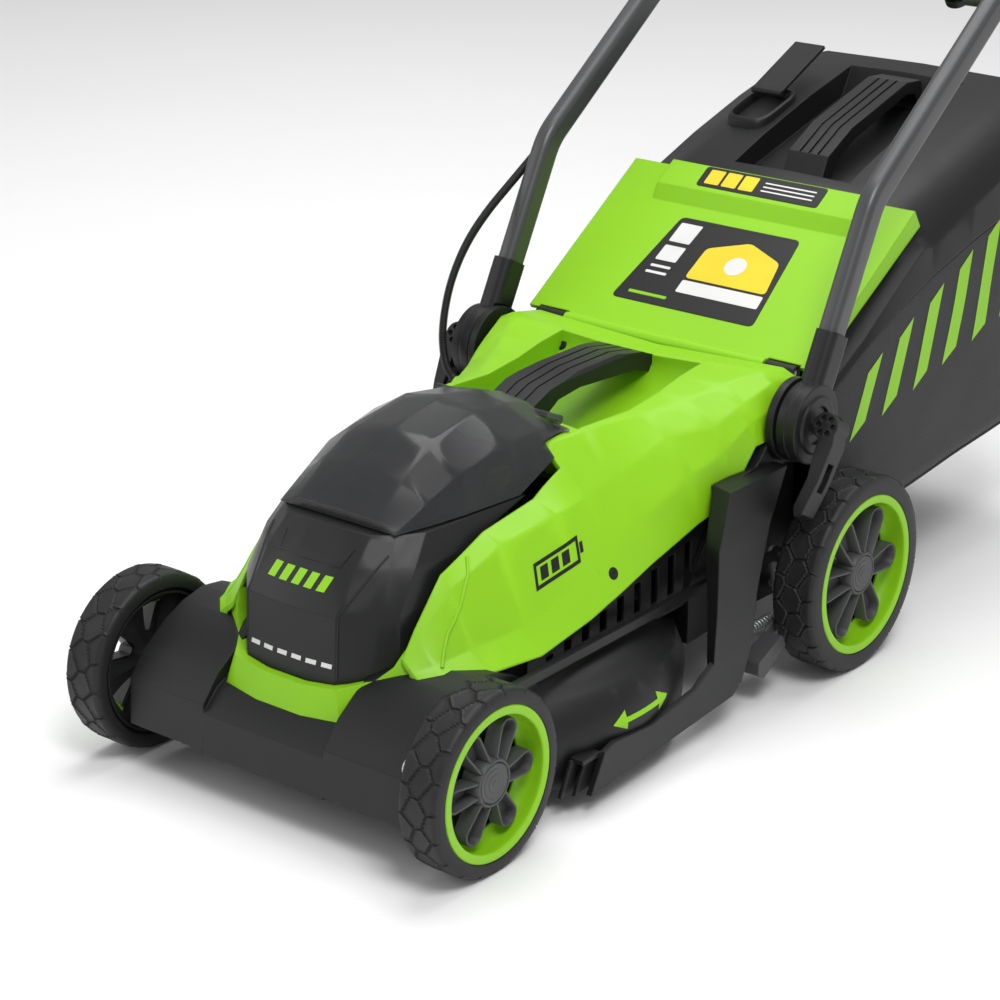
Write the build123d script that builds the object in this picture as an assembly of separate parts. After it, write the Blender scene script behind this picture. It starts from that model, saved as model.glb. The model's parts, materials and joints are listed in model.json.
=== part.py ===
from build123d import *
from math import atan2, cos, degrees, hypot, radians, sin
import os

# Cordless walk-behind rotary lawn mower with a rear grass box.
#
# Frame: millimetres, +Z up, +X to the machine's left, +Y to the rear (the user's side).
# Everything is laid out in axle coordinates, with y = 0 at the front wheels' centre and z = 0 on
# the ground, and every node is moved by -BOX_MIDDLE_Y when it is written, so that the finished
# frame has its origin on the ground under the middle of the machine's box.

# ---------------------------------------------------------------- driving dimensions
WALL = 3.0                      # moulded wall thickness
WHEELBASE = 495.8
FRONT_WHEEL_R = 76.2            # 6 inch wheel
REAR_WHEEL_R = 89.8             # 7 inch wheel
FRONT_WHEEL_X = 198.3           # outer face of a front wheel
REAR_WHEEL_X = 218.3            # outer face of a rear wheel
FRONT_WHEEL_W = 38.5
REAR_WHEEL_W = 42.6
FRONT_RING_R = 63.4             # outer radius of the coloured ring
REAR_RING_R = 72.8
TREAD_SHOULDER = 5.0

CRANK_R = 38.0                  # radius of the height cranks
CRANK_REST = 22.0               # degrees that a crank stands above level at rest
AXLE_R = 5.0
STUB_R = 6.0
RUN_FIT = 0.05                  # radial clearance of a running fit
PLATE_T = 3.0                   # crank plate thickness

BLADE_Y = 190.0                 # blade axis behind the front wheels
BLADE_R = 180.0                 # half of the 36 cm cutting width
BLADE_Z = 31.0                  # underside of the blade
VOLUTE_R = 192.0                # outer radius of the blade housing
DECK_TOP = 118.0
SHAFT_R = 6.0

PIVOT_Y, PIVOT_Z = 449.0, 237.0         # axis of the lower handle
KNEE_Y, KNEE_Z = 544.0, 414.0           # bend of the lower handle
JOINT_Y, JOINT_Z = 748.0, 558.0         # joint of lower and upper handle
HANDLE_TOP_Z = 985.0                    # centre of the cross bar
LOWER_TUBE_X = 176.0
LOWER_TUBE_W = 18.0                     # tube size across the machine
LOWER_TUBE_D = 26.0                     # tube size in the fold plane
UPPER_TUBE_X = 155.5
UPPER_TUBE_R = 11.0

FLAP_HINGE_Y, FLAP_HINGE_Z = 487.0, 263.0
FLAP_SLOPE = 32.7               # degrees above level while it rests on the grass box
FLAP_LENGTH = 203.0
FLAP_HALF = 155.0

CONDUIT_R = 4.0
CONDUIT_X = -190.0

BOX_FRONT_Y = -FRONT_WHEEL_R

SIDES = {"left": 1, "right": -1}

os.makedirs("parts", exist_ok=True)


# ---------------------------------------------------------------- small geometry helpers
def block(x0, x1, y0, y1, z0, z1):
    """Box between two corners."""
    return Pos((x0 + x1) / 2, (y0 + y1) / 2, (z0 + z1) / 2) * Box(x1 - x0, y1 - y0, z1 - z0)


def rod_x(r, x0, x1, y, z):
    """Cylinder along X."""
    return Pos((x0 + x1) / 2, y, z) * Rot(0, 90, 0) * Cylinder(r, abs(x1 - x0))


def rod_y(r, y0, y1, x, z):
    """Cylinder along Y."""
    return Pos(x, (y0 + y1) / 2, z) * Rot(90, 0, 0) * Cylinder(r, abs(y1 - y0))


def rod_z(r, z0, z1, x=0.0, y=BLADE_Y):
    """Cylinder along Z."""
    return Pos(x, y, (z0 + z1) / 2) * Cylinder(r, abs(z1 - z0))


def prism_x(points, x0, x1):
    """Extrude a (y, z) outline from x0 to x1."""
    face = make_face(Polyline(*points, close=True))
    return extrude(Plane.YZ.offset(x0) * face, x1 - x0)


def prism_y(points, y0, y1):
    """Extrude an (x, z) outline from y0 to y1."""
    face = make_face(Polyline(*points, close=True))
    return extrude(Plane.XZ.offset(-y1) * face, y1 - y0)


def prism_z(points, z0, z1):
    """Extrude an (x, y) outline from z0 to z1."""
    face = make_face(Polyline(*points, close=True))
    return extrude(Plane.XY.offset(z0) * face, z1 - z0)


def mirrored(shape):
    """The same shape on the other side of the machine."""
    return mirror(shape, about=Plane.YZ)


def both_sides(shape):
    """A shape and its mirror image in one."""
    return shape + mirrored(shape)


def on_side(shape, side):
    """A shape drawn for the left side, put on the side asked for."""
    return shape if side > 0 else mirrored(shape)


def lathe_x(profile, x_face):
    """Turn an (r, depth) outline about X; depth runs inward from the outer face, left side."""
    points = [(x_face - depth, r) for r, depth in profile]
    face = make_face(Polyline(*points, close=True))
    return revolve(Plane.XY * face, Axis.X)


def lathe_z(profile, x=0.0, y=BLADE_Y):
    """Turn an (r, z) outline about a vertical axis."""
    face = make_face(Polyline(*profile, close=True))
    return Pos(x, y, 0) * revolve(Plane.XZ * face, Axis.Z)


def section_y(y, half):
    """Closed symmetric section at y from its right half, given from top centre to the bottom."""
    left = [(-x, z) for x, z in reversed(half) if x > 0.01]
    return Plane.XZ.offset(-y) * make_face(Polyline(*half, *left, close=True))


def symmetric(half):
    """Closed (x, y) outline from its left half, given from the front middle to the back."""
    return half + [(-x, y) for x, y in reversed(half)]


def hull_y(stations):
    """Ruled solid through symmetric sections: [(y, half outline), ...]."""
    return loft([section_y(y, half) for y, half in stations], ruled=True)


def hull_z(levels):
    """Ruled solid through level outlines: [(z, (x, y) outline), ...]."""
    faces = [Plane.XY.offset(z) * make_face(Polyline(*outline, close=True)) for z, outline in levels]
    return loft(faces, ruled=True)


def bent_tube(points, radii, r):
    """Round bar along straight runs joined by tangent arcs."""
    path = FilletPolyline(*points, radius=radii)
    start = Plane(origin=path @ 0, z_dir=path % 0)
    return sweep(start * Circle(r), path=path)


def arc_radii(points, share=0.45):
    """Largest even arcs that the runs of a route allow, one for each inner point."""
    radii = []
    for a, b, c in zip(points, points[1:], points[2:]):
        u = Vector(*b) - Vector(*a)
        v = Vector(*c) - Vector(*b)
        half_turn = radians(u.get_angle(v)) / 2
        radii.append(share * min(u.length, v.length) * cos(half_turn) / sin(half_turn))
    return radii


def along(y, z, angle, distance, lift=0.0):
    """Point at a distance along a direction in the fold plane, and lifted square to it."""
    a = radians(angle)
    return (y + distance * cos(a) - lift * sin(a), z + distance * sin(a) + lift * cos(a))


NODES = {}


def add(name, shape):
    """Keep one node under its name."""
    NODES[name] = shape


# ---------------------------------------------------------------- places that follow from the sizes
CRANK_DY = CRANK_R * cos(radians(CRANK_REST))
CRANK_DZ = CRANK_R * sin(radians(CRANK_REST))
FRONT_AXLE = (-CRANK_DY, FRONT_WHEEL_R - CRANK_DZ)
REAR_AXLE = (WHEELBASE - CRANK_DY, REAR_WHEEL_R - CRANK_DZ)
LINK_ARM_R = 35.0
LINK_ARM_ANGLE = 110.0
LINK_DY = LINK_ARM_R * cos(radians(LINK_ARM_ANGLE))
LINK_DZ = LINK_ARM_R * sin(radians(LINK_ARM_ANGLE))
FRONT_PIN = (FRONT_AXLE[0] + LINK_DY, FRONT_AXLE[1] + LINK_DZ)
REAR_PIN = (REAR_AXLE[0] + LINK_DY, REAR_AXLE[1] + LINK_DZ)

LOWER_ANGLE = degrees(atan2(KNEE_Z - PIVOT_Z, KNEE_Y - PIVOT_Y))
UPPER_ANGLE = degrees(atan2(JOINT_Z - KNEE_Z, JOINT_Y - KNEE_Y))
UPPER_LENGTH = (HANDLE_TOP_Z - JOINT_Z) / sin(radians(UPPER_ANGLE))
CROSSBAR_Y, CROSSBAR_Z = along(JOINT_Y, JOINT_Z, UPPER_ANGLE, UPPER_LENGTH)
GRIP_R = 16.0
BOX_BACK_Y = CROSSBAR_Y + GRIP_R
BOX_MIDDLE_Y = (BOX_FRONT_Y + BOX_BACK_Y) / 2


CONDUIT_START = (-146, 386, 212)
CONDUIT_SPLIT = (CONDUIT_X, 597, 434)
LOWER_ROUTE = [
    CONDUIT_START, (-172, 391, 219), (-187, 399, 242), (-191, 406, 270), (-191, 417, 302), (-191, 439, 332),
    (-191, 470, 356), (CONDUIT_X, 508, 378), (CONDUIT_X, 551, 402), CONDUIT_SPLIT,
]


# ---------------------------------------------------------------- deck
ARCH_X0, ARCH_X1 = 64.6, 147.0
FRONT_CENTRE = [(-52, 41), (-50, 76), (-33, 93), (-22, 98), (40, 112), (40, 41)]
FRONT_CORNER = [(-52, 43), (-49.5, 83), (-32, 104), (-6, 122), (14, 131), (37, 136), (60, 133), (84, 122),
                (112, 104), (112, 43)]
CHUTE_HALF = 112.0
CHUTE_OUT = [(300, 60), (470, 96), (494, 100), (494, 250), (400, 222), (300, 190), (250, 130), (250, 60)]


def inset(outline, gap):
    """Outline pulled in on every side."""
    face = make_face(Polyline(*outline, close=True))
    return offset(face, amount=-gap)


def prism_face_x(face, x0, x1):
    """Extrude a ready (y, z) face from x0 to x1."""
    return extrude(Plane.YZ.offset(x0) * face, x1 - x0)


def volute_outline(grow):
    """(r, z) outline of the blade housing, solid, pulled in by -grow."""
    return [
        (0, 20 if grow == 0 else 10),
        (VOLUTE_R + grow, 20 if grow == 0 else 10),
        (VOLUTE_R + 3 + grow, 62),
        (186 + grow, 86 + grow),
        (160 + grow, 103 + grow),
        (118 + grow, 112 + grow),
        (62 + grow, DECK_TOP + grow),
        (0, DECK_TOP + grow),
    ]


def louvre_tower():
    """Slotted side walls between the deck and the hood, around the motor and the electronics."""
    y0, y1, x, z0, z1 = 112.0, 372.0, 138.0, 96.0, 176.0
    wall_line = [(y0, z0), (y0, 124), (215, 146), (330, 172), (y1, z1), (y1, z0)]
    wall = prism_x(wall_line, x - WALL, x)
    slot_pitch, slot_width, slot_count = 24.0, 10.0, 9
    for i in range(slot_count):
        y = y0 + 24 + i * slot_pitch
        top = 112 + (y - y0) * 0.19
        wall -= block(x - 2 * WALL, x + WALL, y, y + slot_width, 112, top)
    return both_sides(wall)


def make_deck():
    """Blade housing, front bumper, wheel arches, discharge chute and rear axle cheeks in one moulding."""
    body = lathe_z(volute_outline(0))
    body += prism_x(FRONT_CENTRE, -ARCH_X0, ARCH_X0)
    arch = prism_x(FRONT_CORNER, ARCH_X0, ARCH_X1)
    body += both_sides(arch)
    body += prism_x(CHUTE_OUT, -CHUTE_HALF, CHUTE_HALF)
    cheek = prism_x([(330, 60), (430, 64), (480, 62), (490, 100), (490, 258), (484, 258), (420, 218),
                     (372, 176), (330, 112)], CHUTE_HALF, CHUTE_HALF + 30)
    cheek += rod_x(7.0, CHUTE_HALF, CHUTE_HALF + 30, FLAP_HINGE_Y, FLAP_HINGE_Z)
    body += both_sides(cheek)

    hollow = lathe_z(volute_outline(-WALL))
    hollow += prism_face_x(inset(CHUTE_OUT, WALL), -CHUTE_HALF + WALL, CHUTE_HALF - WALL)
    hollow += block(-CHUTE_HALF + WALL, CHUTE_HALF - WALL, 485, 520, 103, 247)
    hollow += block(-CHUTE_HALF + WALL, CHUTE_HALF - WALL, 252, 345, 52, 108)
    body -= hollow
    front_room = [(-52 + WALL, 30), (-50 + WALL, 72), (-27, 90), (-14, 93), (-14, 30)]
    body -= prism_x(front_room, -ARCH_X0 + 6, ARCH_X0 - 6)
    corner_room = [(-52 + WALL, 30), (-49.5 + WALL, 81), (-31, 100), (-8, 112), (-8, 30)]
    body -= both_sides(prism_x(corner_room, ARCH_X0 + WALL, ARCH_X1 - WALL))
    cheek_room = [(345, 50), (428, 50), (470, 50), (470, 225), (424, 222), (380, 176), (345, 112)]
    body -= both_sides(prism_x(cheek_room, CHUTE_HALF + WALL, CHUTE_HALF + 30 - WALL))
    body -= rod_z(24.0, DECK_TOP - 12, DECK_TOP + 5)
    body += louvre_tower()
    for y, z in (FRONT_AXLE, REAR_AXLE):
        body -= rod_x(AXLE_R + RUN_FIT, -160, 160, y, z)
    body -= rod_x(3.2, -160, 160, FLAP_HINGE_Y, FLAP_HINGE_Z)
    return body


# ---------------------------------------------------------------- side frames and handle mounts
def make_side_frame():
    """Skirt rail with its grass comb, and the pillar that carries the handle mount (left side)."""
    rail = prism_x([(118, 18), (318, 32), (327, 38), (335, 72), (292, 74), (262, 58), (200, 50),
                    (150, 54), (136, 50)], 193, 198)
    for i in range(2):
        y = 118 - 11 * (i + 1)
        rail += prism_x([(y, 20), (134, 22), (134, 50), (y + 14, 48)], 187 - 6 * i, 190 - 6 * i)
    rail += block(181, 194, 112, 136, 46, 50)
    pillar = hull_z([
        (40, [(190, 293), (198, 291), (198, 331), (190, 331)]),
        (74, [(188, 292), (198, 288), (198, 346), (188, 346)]),
        (114, [(180, 303), (192, 300), (192, 360), (180, 360)]),
        (162, [(166, 318), (184, 312), (184, 388), (166, 388)]),
        (203, [(150, 350), (174, 342), (174, 428), (150, 428)]),
    ])
    shoulder = prism_x([(352, 190), (428, 190), (470, 208), (474, 221), (418, 221), (401, 206), (372, 202),
                        (352, 200)], 142, 160)
    foot = block(186, 193.5, 296, 328, 44, 70)
    return rail + pillar + shoulder + foot


def pair_node(shape):
    """A left piece and its mirror image as two separate solids of one node."""
    return Compound(children=[shape, mirrored(shape)])


def largest(shape):
    """The biggest solid of a cut shape, without the crumbs."""
    return shape.solids().sort_by(SortBy.VOLUME)[-1]


DECK = make_deck()
SIDE_FRAME = largest(make_side_frame() - DECK)
add("side_frames", pair_node(SIDE_FRAME))

MOUNT_R = 37.0
MOUNT_X0, MOUNT_X1 = 160.0, 169.0
DRUM_X0, DRUM_X1 = 169.4, 188.0
BOLT_R = 4.0


def make_handle_mount():
    """Fixed round boss, with radial teeth on its face, that a lower handle clamps to (left side)."""
    boss = rod_x(MOUNT_R, MOUNT_X0, MOUNT_X1 - 2, PIVOT_Y, PIVOT_Z)
    boss += rod_x(24, MOUNT_X0, MOUNT_X1, PIVOT_Y, PIVOT_Z)
    return boss - rod_x(BOLT_R, MOUNT_X0 - 1, MOUNT_X1 + 1, PIVOT_Y, PIVOT_Z)


add("handle_mounts", pair_node(make_handle_mount()))


# ---------------------------------------------------------------- hood
HOOD_STATIONS = [
    (15, [(0, 148), (85, 148), (92, 143), (100, 136), (108, 129)]),
    (30, [(0, 168), (87, 168), (95, 158), (112, 139), (126, 131)]),
    (62, [(0, 200), (90, 200), (99, 189), (122, 146), (142, 130)]),
    (115, [(0, 221), (86, 221), (108, 212), (134, 150), (150, 128)]),
    (180, [(0, 229), (86, 229), (114, 219), (136, 166), (150, 137)]),
    (222, [(0, 260), (76, 260), (113, 222), (137, 178), (150, 147)]),
    (262, [(0, 268), (82, 262), (114, 229), (138, 193), (150, 158)]),
    (330, [(0, 264), (88, 258), (116, 243), (140, 214), (151, 174)]),
    (372, [(0, 266), (104, 262), (134, 244), (146, 224), (152, 180)]),
    (404, [(0, 268), (118, 270), (142, 258), (152, 244), (157, 223)]),
    (440, [(0, 268), (136, 277), (150, 270), (157, 252), (157.5, 223)]),
    (478, [(0, 264), (134, 270), (149, 264), (157, 252), (157.5, 223)]),
]
SCOOP = [(258, 206), (300, 208), (420, 240), (436, 262), (436, 300), (258, 300)]
BAY_HALF = 62.0


def shrunk_stations(stations, gap, drop_end):
    """Stations of the inner hull: narrower and lower by the wall, and open below."""
    inner = []
    for y, half in stations:
        pulled = [(max(x - gap, 0), z - gap) for x, z in half[:-1]]
        x_low, z_low = half[-1]
        pulled.append((x_low - gap, z_low - drop_end))
        inner.append((y, pulled))
    return inner


def make_hood():
    """Coloured top cover: band round the nose, sides, hand scoop and rear shoulders."""
    outer = hull_y(HOOD_STATIONS)
    band = hull_z([
        (90, symmetric([(24, -32), (62, -27), (83, -5), (104, 14), (124, 30)])),
        (121, symmetric([(22, -26), (54, -22), (73, 1.5), (94, 14), (120, 30)])),
        (152, symmetric([(20, -21), (48, -17), (70, 6), (86, 18), (100, 30)])),
    ])
    band_top = [(128, 152), (90, 152), (84, 137), (73, 125.5), (54, 121.2), (22, 118.6)]
    band &= prism_y([(-128, 80), (128, 80)] + band_top + [(-x, z) for x, z in reversed(band_top)], -40, 40)
    inner = hull_y(shrunk_stations(HOOD_STATIONS, WALL, 30))
    scoop = prism_x(SCOOP, -76, 76)
    pan = prism_x([(252, 200), (304, 204), (425, 236), (446, 262), (446, 310), (252, 310)], -80, 80)
    inner -= pan
    hood = outer - inner - scoop
    hood -= block(-BAY_HALF - 28, BAY_HALF + 28, -10, 216, 100, 320) - block(-200, 200, -10, 60, 90, 122)
    hood -= block(-BAY_HALF - 8, BAY_HALF + 8, 200, 251, 190, 320)
    band -= hull_z([
        (80, symmetric([(22, -26), (56, -20), (76, 2), (92, 21), (94, 50)])),
        (121, symmetric([(18, -19), (46, -15.5), (67, 5), (82, 22), (84, 50)])),
        (160, symmetric([(16, -16), (42, -12), (64, 9), (80, 25), (82, 50)])),
    ])
    lug = rod_x(8.5, -161, -145, 388, 214.5)
    hood += band + lug
    hood -= both_sides(rod_x(9, 140, 165, PIVOT_Y, PIVOT_Z))
    hood -= bent_tube(LOWER_ROUTE, arc_radii(LOWER_ROUTE), CONDUIT_R + 0.4)
    return largest(hood - both_sides(SIDE_FRAME))


SCREW_SPOTS = [(77.5, 448.6, 268.0), (-77.5, 448.6, 268.0)]
SIDE_SCREW_Y, SIDE_SCREW_Z = 207.0, 166.0


def screw(length, r=2.0, head_r=3.6):
    """Pan head screw standing on z = 0, head up."""
    head = Cylinder(head_r, 2.4, align=(Align.CENTER, Align.CENTER, Align.MIN))
    shank = Pos(0, 0, -length) * Cylinder(r, length, align=(Align.CENTER, Align.CENTER, Align.MIN))
    recess = Pos(0, 0, 1.2) * (Box(4.2, 1.0, 2.4) + Box(1.0, 4.2, 2.4))
    return head + shank - recess


def make_hood_screws():
    """Four screws that hold the hood down."""
    top = Pos(*SCREW_SPOTS[0]) * screw(12)
    tilt = Rot(0, 62, 0)
    side = Pos(136.5, SIDE_SCREW_Y, SIDE_SCREW_Z) * tilt * screw(10)
    return [top, mirrored(top), side, mirrored(side)]


HOOD_SCREWS = make_hood_screws()
HOOD = make_hood()
for hood_screw in HOOD_SCREWS:
    HOOD = largest(HOOD - hood_screw)
add("hood", HOOD)
add("hood_screws", Compound(children=HOOD_SCREWS))
add("deck_shell", largest(DECK - HOOD))


def make_carry_handle():
    """Lifting bar along the middle, over the hand scoop."""
    outline = [(262, 267), (288, 277), (330, 282), (388, 282), (422, 276), (444, 267), (444, 252), (436, 254),
               (410, 262), (330, 268), (300, 265), (284, 256), (274, 246), (262, 246)]
    bar = prism_x(outline, -24, 24)
    long_edges = bar.edges().filter_by(Axis.X, reverse=True).group_by(Axis.Z)[-1]
    bar = chamfer(long_edges, 3)
    for x in (-11, 0, 11):
        bar -= prism_x([(250, 260), (288, 275.4), (330, 280.4), (388, 280.4), (422, 274.4), (450, 263),
                        (450, 300), (250, 300)], x - 1.1, x + 1.1)
    foot = block(-18, 18, 262, 274, 200, 250)
    return largest(bar + foot - HOOD)


add("carry_handle", make_carry_handle())


# ---------------------------------------------------------------- nose, battery bay and lid
NOSE_LEVELS = [
    (101, symmetric([(20, -22), (50, -19), (70, 2), (85, 20), (88, 34)])),
    (121.5, symmetric([(18, -18), (46, -15), (67, 5), (82, 22), (85, 34)])),
    (176, symmetric([(18, -15), (46, -12), (67, 8), (81, 24), (86, 52)])),
    (208, symmetric([(18, 9), (45, 12), (66, 30), (79, 46), (85, 100)])),
    (230, symmetric([(17, 32), (43, 34), (60, 48), (73, 66), (84, 178)])),
]


def make_nose_cover():
    """Dark front shell in front of the battery bay, open to the rear."""
    outer = hull_z(NOSE_LEVELS)
    inner_levels = []
    for z, outline in NOSE_LEVELS:
        pulled = []
        for x, y in outline:
            x_in = x - WALL if x > 0 else x + WALL
            y_in = y + 4 * WALL if y >= 34 and abs(x) > 76 else y + WALL + 1
            pulled.append((x_in, y_in))
        inner_levels.append((z, pulled))
    inner_levels[0] = (98, inner_levels[0][1])
    inner_levels[-1] = (227, inner_levels[-1][1])
    shell = outer - hull_z(inner_levels)
    opening = block(-60, 60, 60, 200, 200, 240)
    return shell - opening


add("nose_cover", largest(make_nose_cover() - HOOD - NODES["deck_shell"]))

TRAY_FLOOR_Z = 176.0
BATTERY_Y0, BATTERY_Y1 = 86.0, 236.0


def make_battery_tray():
    """Open box that the battery slides down into, with its contact block and five blades."""
    outer = block(-52, 52, 78, 246, TRAY_FLOOR_Z, 222)
    inner = block(-49, 49, 81, 243, TRAY_FLOOR_Z + WALL, 230)
    tray = outer - inner
    for x in (-49, 46.5):
        tray += block(x, x + 2.5, 100, 226, TRAY_FLOOR_Z + 8, 214)
    tray += both_sides(block(52, 80, 150, 158, 205, 222))
    tray += both_sides(block(52, 80, 236, 244, 205, 222))
    floor = TRAY_FLOOR_Z + WALL
    tray += block(-30, 30, 100, 118, floor, floor + 6)
    for x in (-24, -12, 0, 12, 24):
        tray += block(x - 0.8, x + 0.8, 103, 115, floor + 6, floor + 16)
    return tray


add("battery_tray", make_battery_tray())


def make_battery_pack():
    """Removable pack with a terminal slot underneath and a grip at the rear."""
    z0 = TRAY_FLOOR_Z + 10
    pack = block(-46, 46, BATTERY_Y0, BATTERY_Y1, z0, 244)
    pack = chamfer(pack.edges().filter_by(Axis.Y).group_by(Axis.Z)[-1], 6)
    pack -= block(-32, 32, 99, 119, z0 - 1, z0 + 14)
    pack -= block(-30, 30, 214, 240, 232, 246)
    pack += block(-24, 24, 222, 234, 232, 240)
    return pack


add("battery_pack", make_battery_pack())

LID_STATIONS = [
    (43, [(0, 240), (42, 239.5), (60, 232.5), (61, 231.5)]),
    (78, [(0, 267), (41, 264), (64, 248), (70, 231.5)]),
    (111, [(0, 287), (40, 283), (68, 262), (77, 232)]),
    (171, [(0, 299), (36, 293), (71, 272), (84, 232)]),
    (216, [(0, 292), (32, 287), (66, 271), (85, 252)]),
    (250, [(0, 281), (28, 278), (58, 266), (74, 264)]),
]
LID_HINGE_Y, LID_HINGE_Z = 247.0, 271.0


def make_battery_lid():
    """Clear hinged cover over the battery."""
    outer = hull_y(LID_STATIONS)
    inner_stations = []
    for y, half in LID_STATIONS:
        pulled = [(max(x - 2.5, 0), z - 2.5) for x, z in half[:-1]]
        pulled.append((half[-1][0] - 2.5, half[-1][1] - 20))
        inner_stations.append((y, pulled))
    first_y, first = inner_stations[0]
    last_y, last = inner_stations[-1]
    inner_stations[0] = (first_y + 3, first)
    inner_stations[-1] = (last_y - 3, last)
    lid = outer - hull_y(inner_stations)
    lid += both_sides(rod_x(4, 40, 66, LID_HINGE_Y, LID_HINGE_Z))
    return lid - both_sides(block(69, 95, 215, 256, 200, 263))


add("battery_lid", make_battery_lid())


def make_safety_key():
    """Pull-out key beside the battery, under the lid."""
    stem = block(54, 60, 172, 184, 206, 232)
    tab = block(53, 61, 168, 188, 232, 246)
    return stem + tab


add("safety_key", make_safety_key())


# ---------------------------------------------------------------- motor, blade and electronics
BEARING_R = 14.0
BEARING_SPANS = [(DECK_TOP - 2, DECK_TOP + 8), (146, 156)]


def make_motor_mount():
    """Metal plate on the deck with the tube that holds both bearings."""
    mount = rod_z(58, DECK_TOP, DECK_TOP + 4) + rod_z(18, DECK_TOP - 5, 158)
    mount -= rod_z(SHAFT_R + 2, DECK_TOP - 6, 160)
    for z0, z1 in BEARING_SPANS:
        mount -= rod_z(BEARING_R, z0, z1)
    for i in range(4):
        a = radians(45 + 90 * i)
        mount -= rod_z(3, DECK_TOP - 1, DECK_TOP + 5, 51 * cos(a), BLADE_Y + 51 * sin(a))
    return mount


add("motor_mount", make_motor_mount())


def make_bearings():
    """Lower and upper ball bearing, as plain rings."""
    rings = [rod_z(BEARING_R, z0, z1) - rod_z(SHAFT_R + RUN_FIT, z0 - 1, z1 + 1) for z0, z1 in BEARING_SPANS]
    return Compound(children=rings)


add("motor_bearings", make_bearings())


def make_stator():
    """Wound star with twelve teeth round the bearing tube."""
    star = rod_z(24, 128, 150) - rod_z(18, 127, 151)
    for i in range(12):
        star += Pos(0, BLADE_Y, 139) * Rot(0, 0, 30 * i) * Pos(30, 0, 0) * Box(14, 6, 22)
    return star


add("motor_stator", make_stator())


def make_rotor():
    """Magnet bell on its shaft, with the thread hole for the blade bolt below."""
    bell = rod_z(43, 126, 164) - rod_z(39, 125, 160.5)
    for i in range(6):
        a = radians(60 * i)
        bell -= rod_z(7, 159, 166, 26 * cos(a), BLADE_Y + 26 * sin(a))
    return bell + rod_z(SHAFT_R, 40, 161) - rod_z(BOLT_R, 39, 62)


add("motor_rotor", make_rotor())


def make_blade_adapter():
    """Hub pressed on the shaft, with a small fan, that drives the blade."""
    hub = rod_z(20, BLADE_Z + 4, 60) + rod_z(45, 56, 60)
    for i in range(6):
        hub += Pos(0, BLADE_Y, 49) * Rot(0, 0, 60 * i) * Pos(30, 0, 0) * Box(22, 2.5, 16)
    hub -= rod_z(SHAFT_R, 40, 70)
    return hub - rod_z(4.5, 30, 41)


add("blade_adapter", make_blade_adapter())


def make_blade():
    """Steel bar blade with sharpened tips and lifted trailing edges."""
    bar = rod_z(BLADE_R, BLADE_Z, BLADE_Z + 4) & block(-200, 200, BLADE_Y - 24, BLADE_Y + 24, 20, 60)
    for side in (1, -1):
        tip = block(115, 190, 12, 30, -1, 2.2)
        cut = Pos(0, BLADE_Y, BLADE_Z) * Rot(0, 0, 0 if side > 0 else 180) * tip
        bar -= cut
        wing = block(118, 170, -24, -21, 3.9, 14)
        bar += Pos(0, BLADE_Y, BLADE_Z) * Rot(0, 0, 0 if side > 0 else 180) * wing
    return bar - rod_z(4.5, 20, 60)


add("blade", make_blade())


def make_blade_bolt():
    """Hexagon bolt up into the shaft."""
    hexagon = extrude(Pos(0, BLADE_Y, 22) * RegularPolygon(9, 6), 6)
    return hexagon + rod_z(12, 28, BLADE_Z) + rod_z(4, 28, 58)


add("blade_bolt", make_blade_bolt())


def make_controller():
    """Motor controller in a finned case in front of the motor, on four feet."""
    case = block(-45, 45, 42, 124, 121, 142)
    for i in range(8):
        y = 47 + i * 10
        case += block(-41, 41, y, y + 3, 142, 148)
    for x in (-38, 38):
        for y in (50, 116):
            case += rod_z(5, 100, 121, x, y)
    return largest(case - NODES["deck_shell"])


add("controller", make_controller())


# ---------------------------------------------------------------- wheels
HUB_R = 16.0
BOSS_FACE = 12.0
NUT_DEPTH = 8.3
RING_LIP = 8.0


def spoke_windows(inner, outer, inner_half, outer_half, x0, x1):
    """Six tapered openings between spokes, round the X axis; half widths are in degrees."""
    windows = []
    for i in range(6):
        a = radians(60 * i + 30)
        outline = []
        for radius, half in ((inner, inner_half), (outer, outer_half), (outer, -outer_half), (inner, -inner_half)):
            turn = a + radians(half)
            outline.append((radius * cos(turn), radius * sin(turn)))
        windows.append(prism_x(outline, x0, x1))
    return windows


def make_wheel(r, width, ring_r, x_face):
    """Dark moulded wheel: tread, web and bored boss."""
    web = width - 8
    profile = [
        (ring_r, 0), (r - TREAD_SHOULDER, 0), (r, TREAD_SHOULDER), (r, width - TREAD_SHOULDER),
        (r - TREAD_SHOULDER, width), (r - 14, width), (r - 14, width - 4), (HUB_R, width - 4), (HUB_R, width),
        (STUB_R + RUN_FIT, width), (STUB_R + RUN_FIT, BOSS_FACE), (HUB_R, BOSS_FACE), (HUB_R, web),
        (ring_r, web),
    ]
    wheel = lathe_x(profile, x_face)
    for window in spoke_windows(24, ring_r - 9, 15, 20, x_face - width, x_face - web + 2):
        wheel -= window
    return wheel


def make_ring(ring_r, x_face):
    """Coloured ring with a lip on the outer face and a dished inner wall."""
    profile = [(ring_r, 0), (ring_r, 22), (ring_r - 12, 22), (ring_r - 12, 19), (ring_r - 6, 16),
               (ring_r - RING_LIP, 3), (ring_r - RING_LIP + 1, 0)]
    return lathe_x(profile, x_face)


def make_hubcap(ring_r, x_face, y, z):
    """Grey six-spoke cap that covers the axle nut."""
    rim = ring_r - 12
    profile = [(0, 5), (17, 5), (22, 14), (rim, 14), (rim, 19), (HUB_R, 19), (HUB_R, BOSS_FACE),
               (13, BOSS_FACE), (13, 7), (0, 7)]
    cap = lathe_x(profile, x_face)
    for window in spoke_windows(25, rim - 5, 13, 21, x_face - 20, x_face - 10):
        cap -= window
    return Pos(0, y, z) * cap


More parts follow.
